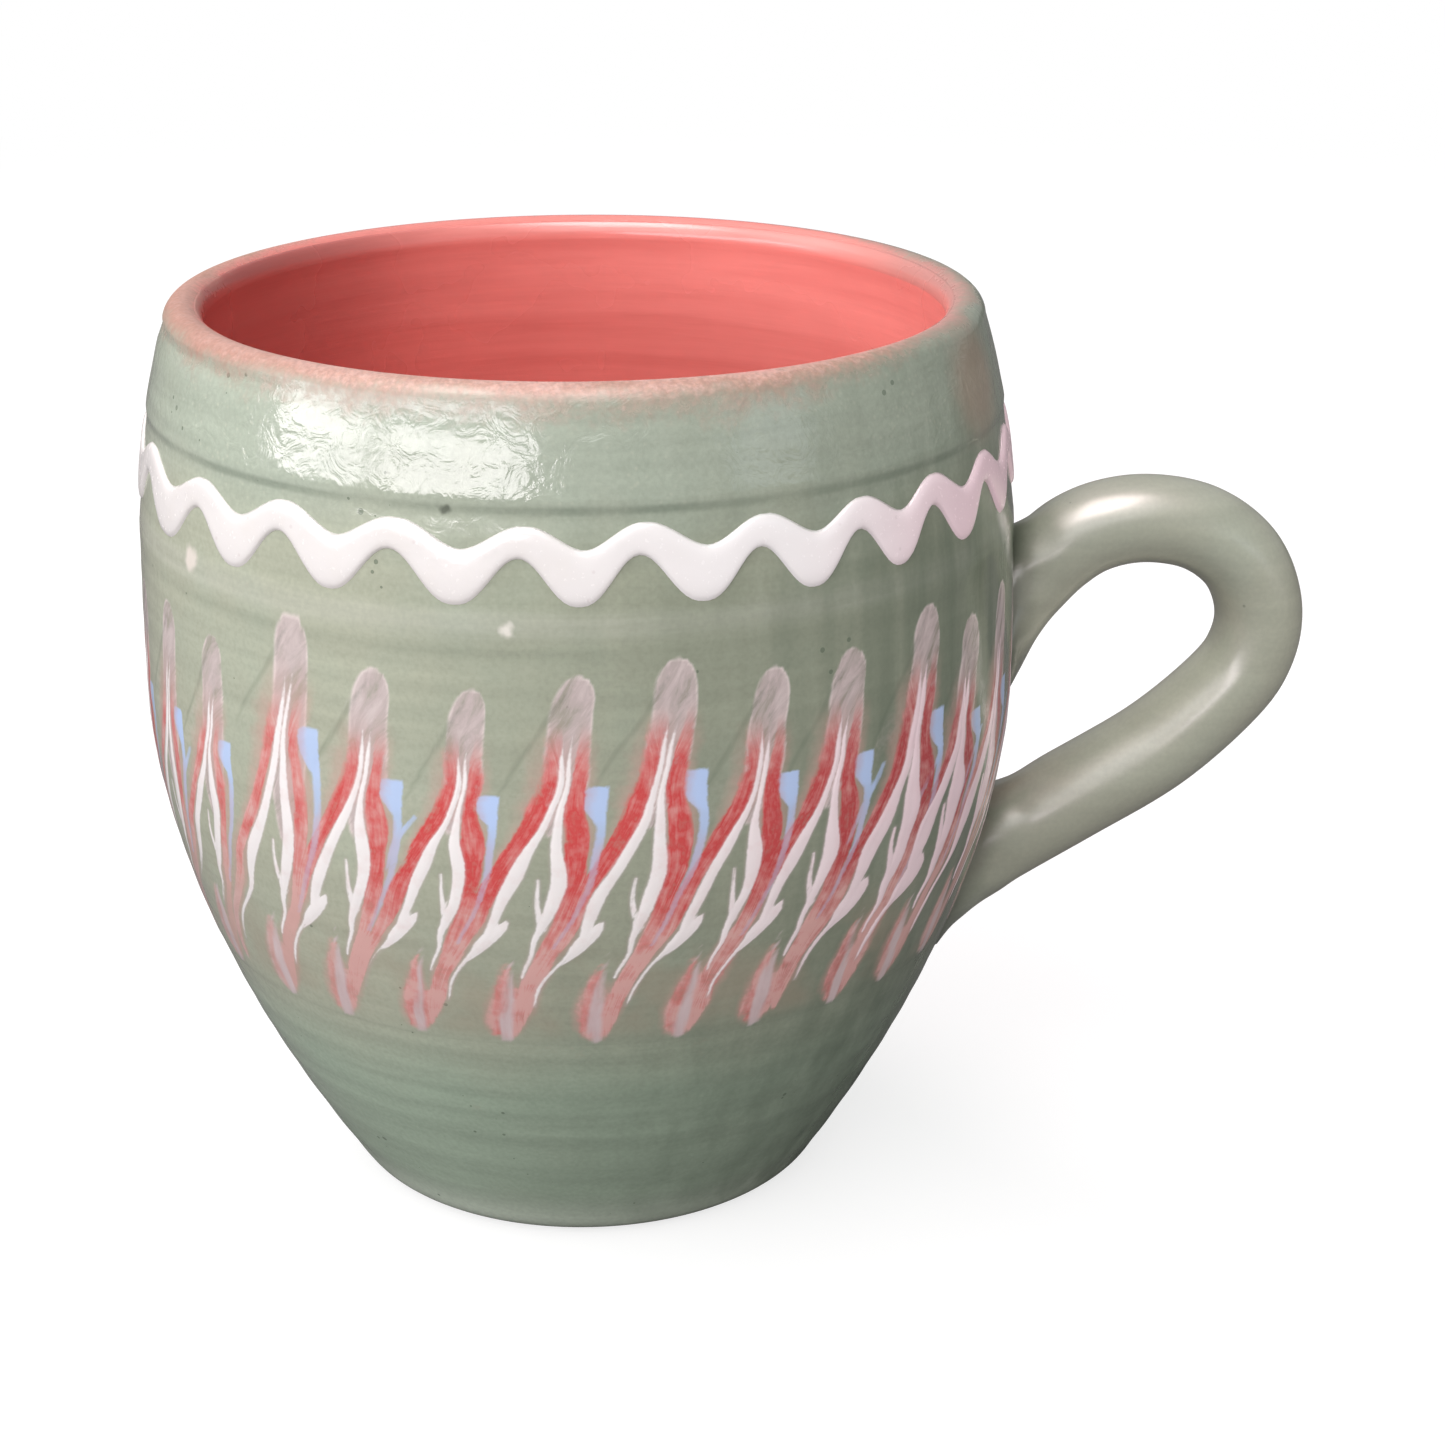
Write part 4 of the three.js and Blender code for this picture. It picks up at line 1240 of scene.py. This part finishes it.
def slip_fields(angle, height, degree, regular, angles, tops, draw):
    """Where each slip lies, for every point of the band."""
    field = {n: np.zeros(angle.shape) for n in FIELDS}
    field["white"] += FAR_OFF
    field["blue"] += FAR_OFF
    for k in range(len(angles)):
        # Each feather has its own width, sway and strength
        wide, blue_share, streak_share = draw.uniform((0.9, 0.88, 0.0), (1.12, 1.0, 1.0))
        flame_share, veil_share = draw.uniform((0.7, 0.1), (1.0, 0.28))
        sway = draw.uniform(-0.35, 0.35, 4)
        offset = (angle - feather_centre(regular[k], angles[k], height) + 180) % 360 - 180
        near = np.abs(offset - FEATHER_MIDDLE) < FEATHER_REACH
        a, z, mm = offset[near], height[near], degree[near]
        z = local_height(z, tops[k])
        a = a + sway[0] * np.sin(z * 0.55 + 9 * sway[1]) * 0.7
        a = a + sway[2] * 0.3 * np.sin(z * 1.3 + 20 * sway[3])
        a = a / (1 + (wide - 1) * ease(z, 30, 50))
        pulse = [1 + 0.12 * np.sin(z * 0.7 + p) for p in draw.uniform(0, 6.28, 4)]

        # Threads are fuller right of the middle; reds fade at the far left and by the handle, their paleness
        # at the far left partly a painted sheen
        full = 1 + 0.8 * ease(angles[k], -62, -30) * (1 - ease(angles[k], 0, 25))
        by_handle = ease(angles[k], -40, -24) * (1 - ease(angles[k], 8, 30))
        faded = max(1 - ease(angles[k], -132, -104), 0.8 * by_handle)
        drained = 0.6 * faded * (1 - ease(z, 38, 46))
        upper = ease(z, 52, 60)
        thinned = 1 - 0.35 * faded

        # Red flanks and feet, with the bloom round them
        left = trail_cover(LEFT_RED, a, z, mm, 0.6 + 1.3 * upper, 0.4, pulse[0] * thinned)
        right = trail_cover(RIGHT_RED, a, z, mm, 0.4, 0.5 + 0.5 * upper, pulse[1] * thinned)
        lobe = trail_cover(FOOT, a, z, mm, 0.9, 0.9)
        red = np.maximum(np.maximum(left, right), lobe * 0.95)
        around = trail_cover(LEFT_RED, a, z, mm, 2.6 + 1.6 * upper, 1.4, 1.3 + 0.6 * upper)
        around = np.maximum(around, trail_cover(RIGHT_RED, a, z, mm, 1.2, 1.8 + upper, 1.2 + 0.5 * upper))
        around = np.maximum(around, trail_cover(FOOT, a, z, mm, 1.8, 1.4, 1.2))
        strength = (1 - ease(z + 3.5 * faded, 60, 65)) * (1 - drained)
        low = 0.1 + 0.45 * faded + ease(z, 50, 38) * 0.85 * (1 - 0.28 * lobe)
        pale = np.maximum(low, 0.5 * ease(z, 55, 63))

        # White threads
        white = trail_distance(LEFT_WHITE, a, z, mm, pulse[2] * full)
        white = np.minimum(white, trail_distance(RIGHT_WHITE, a, z, mm, pulse[3] * full))
        white = np.minimum(white, trail_distance(THREAD, a, z, mm, full))
        white = np.minimum(white, trail_distance(LEAF, a, z, mm, full) + FAR_OFF * (faded > 0.6))
        white = white + 0.2 * ease(z, 60, 64)

        # Blue dabs, tails and, on half of the feathers, streaks
        dab = trail_distance(BLUE_DAB, a, z, mm)
        tail = trail_distance(BLUE_TAIL, a, z, mm)
        streak = trail_distance(BLUE_STREAK, a, z, mm) + (0.0 if streak_share > 0.5 else 2.0)
        blue = np.minimum(np.minimum(dab, tail), streak)
        bright = np.where(streak < 0.2, 0.6, 0.6 + 0.3 * ease(z, 46, 55))
        bright = np.where(dab < 0.2, 1.0, bright) * blue_share

        # Smeared caps, veils, flames and the line of the comb
        cap = trail_cover(CAP, a, z + 5 * faded * (1 - ease(z, 56, 66)), mm, 0.9, 0.6)
        veil = trail_cover(VEIL, a, z, mm, 0.6, 0.8) * veil_share
        trailed = np.maximum(left, lobe) * drained * 1.5
        most = {
            "red": red,
            "bloom": around,
            "blush": (around > 0) * (1 - ease(z, 58, 66)),
            "strength": (around > 0) * strength,
            "pale": (red > 0.02) * pale,
            "bright": np.where(blue < 0.4, bright, 0.0),
            "smear": np.maximum(np.maximum(cap, veil), trailed),
            "flame": trail_cover(FLAME, a, z, mm, 0.7, 0.9) * flame_share,
            "drag": trail_cover(DRAG, a, z, mm, 0.35, 0.5) * (0.6 + veil_share),
        }
        for name, value in most.items():
            field[name][near] = np.maximum(field[name][near], value)
        for name, value in (("white", white), ("blue", blue)):
            field[name][near] = np.minimum(field[name][near], value)
    return field


class MUG_OT_feathered_band(Operator):
    """Lays the band of combed red, white and blue slips over the belly"""

    bl_idname = "mug.feathered_band"
    bl_label = "Feathered slip band"

    def execute(self, context):
        b = context.scene.mug_band
        regular, angles, tops, draw = feather_places(b.units)
        row_marks = (0, 16, 48, 67, BAND_ROWS - 1)
        level_marks = (b.bottom, 40 * MM, 62 * MM, 71 * MM, b.top)
        heights = np.interp(np.arange(BAND_ROWS), row_marks, level_marks)
        columns = band_columns(heights / MM, regular, angles, tops)
        rows, count = columns.shape
        z = np.broadcast_to(heights[:, None], columns.shape)
        theta = np.radians(columns)
        radius = wall_radius(theta, z)
        field = slip_fields(columns, z / MM, np.radians(radius) / MM, regular, angles, tops, draw)
        border = np.minimum(z - b.bottom, b.top - z)
        coat = b.coat * (2 * ease(border, 0, 1.5 * MM) - 1)
        relief = b.trail_relief * ease(-field["white"], -0.1, 0.5) + 0.4 * b.trail_relief * field["red"]
        radius = radius + coat + relief
        points = np.stack([radius * np.cos(theta), radius * np.sin(theta), z], axis=-1).reshape(-1, 3)
        faces, column, row = ring_grid(rows, count)
        mesh = bpy.data.meshes.new("feathered_slip_band")
        mesh.from_pydata(points.tolist(), [], faces)
        for name in FIELDS:
            store(mesh, "slip_" + name, field[name])

        # The combed patterns run across each feather in turn and up the wall
        unit, share = np.divmod(np.arange(count) / sum(EDGE_COLUMNS), 1)
        across = (unit + share) * np.radians(360 / b.units) * FLOW_RADIUS * MM
        flow = [np.broadcast_to(v, columns.shape) for v in (across, z, unit * FLOW_STEP)]
        store(mesh, "flow", np.stack(flow, axis=-1), "FLOAT_VECTOR")

        # The unwrap lays the band out in strips of feathers, one above the other
        wide = count // BAND_STRIPS
        strip = column[:, :1] // wide
        right = STRIP_EDGE + (1 - 2 * STRIP_EDGE) * (column - strip * wide) / wide
        up = (strip + STRIP_GAP + (1 - 2 * STRIP_GAP) * row / (rows - 1)) / BAND_STRIPS
        mesh.uv_layers.new(name=BAKE_MAP).data.foreach_set("uv", np.stack([right, up], axis=-1).ravel())
        piece = new_piece("feathered_slip_band", mesh, feathered_glaze())
        keep(piece, "sage_glaze")
        return {"FINISHED"}


# Stage: floor, light and camera, whose place is in mm, turns in degrees and focus in pixels

CAMERA_PLACE = (0.0, -298.0, 159.0)
CAMERA_YAW = 2.863
CAMERA_PITCH = 20.458
CAMERA_ROLL = 0.141
CAMERA_FOCUS = 2965.7
PHOTO_PIXELS = 1445
SENSOR_MM = 36.0
FLOOR_RADIUS = 6.0
LIGHT_AIM = (0, 0, 0.06)


def camera_axes():
    yaw, pitch, roll = (math.radians(v) for v in (CAMERA_YAW, CAMERA_PITCH, CAMERA_ROLL))
    ahead = Vector((math.sin(yaw) * math.cos(pitch), math.cos(yaw) * math.cos(pitch), -math.sin(pitch)))
    right = Vector((math.cos(yaw), -math.sin(yaw), 0))
    up = right.cross(ahead)
    turned = right * math.cos(roll) + up * math.sin(roll)
    upright = up * math.cos(roll) - right * math.sin(roll)
    return turned, upright, -ahead


def area_light(name, azimuth, elevation, distance, size, power, tint, mirrored=True, lights=True):
    """A soft box that looks at the mug; azimuth runs from the camera side towards the handle."""
    turn, lift = math.radians(azimuth), math.radians(elevation)
    aim = Vector((math.sin(turn) * math.cos(lift), -math.cos(turn) * math.cos(lift), math.sin(lift)))
    lamp = bpy.data.lights.new(name, "AREA")
    lamp.shape = "RECTANGLE"
    lamp.size, lamp.size_y = size
    lamp.energy = power
    lamp.color = linear(tint)[:3]
    box = bpy.data.objects.new(name, lamp)
    box.location = aim * distance + Vector(LIGHT_AIM)
    box.rotation_euler = aim.to_track_quat("Z", "Y").to_euler()
    box.visible_glossy = mirrored
    box.visible_diffuse = lights
    bpy.context.scene.collection.objects.link(box)


def floor_paint():
    """Plain pale table: white to the camera with the mug's shadow, mid grey for the light it throws back."""
    made, tree = new_material("pale table")
    path = add(tree, "LightPath")
    matt = add(tree, "BsdfDiffuse", {"Color": linear("#6e6e6e")})
    pale = add(tree, "BsdfDiffuse", {"Color": linear("#a0a0a0")})
    glow = add(tree, "Emission", {"Color": linear("#ffffff"), "Strength": 0.74})
    shine = add(tree, "AddShader", [pale, glow])
    place = add(tree, "TexCoord").outputs["Object"]
    away = add(tree, "VectorMath", [place], operation="LENGTH").outputs["Value"]
    away = add(tree, "MapRange", [away, 0.2, 0.7], **SMOOTH)
    far = add(tree, "Emission", {"Color": linear("#ffffff"), "Strength": 1.0})
    shine = add(tree, "MixShader", [away, shine, far])
    shine = add(tree, "MixShader", [path.outputs["Is Camera Ray"], matt, shine])
    add(tree, "OutputMaterial", {"Surface": shine})
    return made


def white_world(scene):
    """White behind the mug for the eye, a soft grey for the light."""
    scene.world = bpy.data.worlds.new("studio")
    scene.world.use_nodes = True
    tree = scene.world.node_tree
    tree.nodes.clear()
    path = add(tree, "LightPath")
    soft = add(tree, "Background", {"Color": linear("#ffffff"), "Strength": 0.28})
    white = add(tree, "Background", {"Color": linear("#ffffff"), "Strength": 1.0})
    mixed = add(tree, "MixShader", [path.outputs["Is Camera Ray"], soft, white])
    add(tree, "OutputWorld", {"Surface": mixed})


class MUG_OT_stage(Operator):
    """Sets the pale floor, the soft window light and the camera"""

    bl_idname = "mug.stage"
    bl_label = "Stage"

    def execute(self, context):
        scene = context.scene
        scene.view_settings.view_transform = "Standard"
        lens = bpy.data.cameras.new("camera")
        lens.sensor_width = SENSOR_MM
        lens.lens = CAMERA_FOCUS / PHOTO_PIXELS * SENSOR_MM
        lens.clip_start = 0.01
        eye = bpy.data.objects.new("camera", lens)
        turn = Matrix(camera_axes()).transposed().to_4x4()
        eye.matrix_world = Matrix.Translation(Vector(CAMERA_PLACE) * MM) @ turn
        scene.collection.objects.link(eye)
        scene.camera = eye

        area_light("window_left", -69, 12, 0.75, (0.39, 0.15), 1.3, "#fff7fb")
        area_light("window_right", -32, 12, 0.75, (0.52, 0.15), 1.7, "#fff7fb")
        area_light("roof_shine", -30, 74, 0.9, (0.55, 0.6), 8.0, "#fff0f2", lights=False)
        area_light("room_shine", 50, 13, 0.75, (0.3, 0.14), 0.13, "#dde7f5", lights=False)
        area_light("front_soft", -20, 50, 0.9, (0.95, 0.8), 4.8, "#ffffff")
        area_light("left_sky", -88, 38, 0.9, (0.6, 0.5), 1.6, "#ffffff")
        area_light("back_soft", -152, 56, 0.9, (0.5, 0.4), 3.6, "#fff0f4", mirrored=False)
        area_light("right_fill", 62, -1, 0.9, (0.7, 0.1), 2.7, "#fff3f5", mirrored=False)
        area_light("back_fill", 165, 14, 0.9, (0.6, 0.4), 1.5, "#ffffff", mirrored=False)

        mesh = bpy.data.meshes.new("floor")
        edit = bmesh.new()
        bmesh.ops.create_circle(edit, cap_ends=True, radius=FLOOR_RADIUS, segments=64)
        edit.to_mesh(mesh)
        edit.free()
        floor = new_piece("floor", mesh, floor_paint())
        white_world(scene)
        return {"FINISHED"}


# Panel and registration

STEPS = (
    MUG_OT_thrown_body, MUG_OT_coral_lining, MUG_OT_white_wave_line,
    MUG_OT_feathered_band, MUG_OT_pulled_handle, MUG_OT_stage,
)


class MUG_PT_panel(Panel):
    bl_label = "Barrel mug"
    bl_idname = "MUG_PT_panel"
    bl_space_type = "VIEW_3D"
    bl_region_type = "UI"
    bl_category = "Mug"

    def draw(self, context):
        for name in SETTINGS:
            box = self.layout.box()
            group = getattr(context.scene, name)
            for key in type(group).__annotations__:
                box.prop(group, key)
        for step in STEPS:
            self.layout.operator(step.bl_idname)


def register():
    for kind in (*SETTINGS.values(), *STEPS, MUG_PT_panel):
        bpy.utils.register_class(kind)
    for name, kind in SETTINGS.items():
        setattr(bpy.types.Scene, name, PointerProperty(type=kind))


def unregister():
    for name in SETTINGS:
        delattr(bpy.types.Scene, name)
    for kind in (MUG_PT_panel, *reversed(STEPS), *reversed(SETTINGS.values())):
        bpy.utils.unregister_class(kind)


def main():
    register()
    for step in STEPS:
        group, name = step.bl_idname.split(".")
        getattr(getattr(bpy.ops, group), name)()


if __name__ == "__main__":
    main()
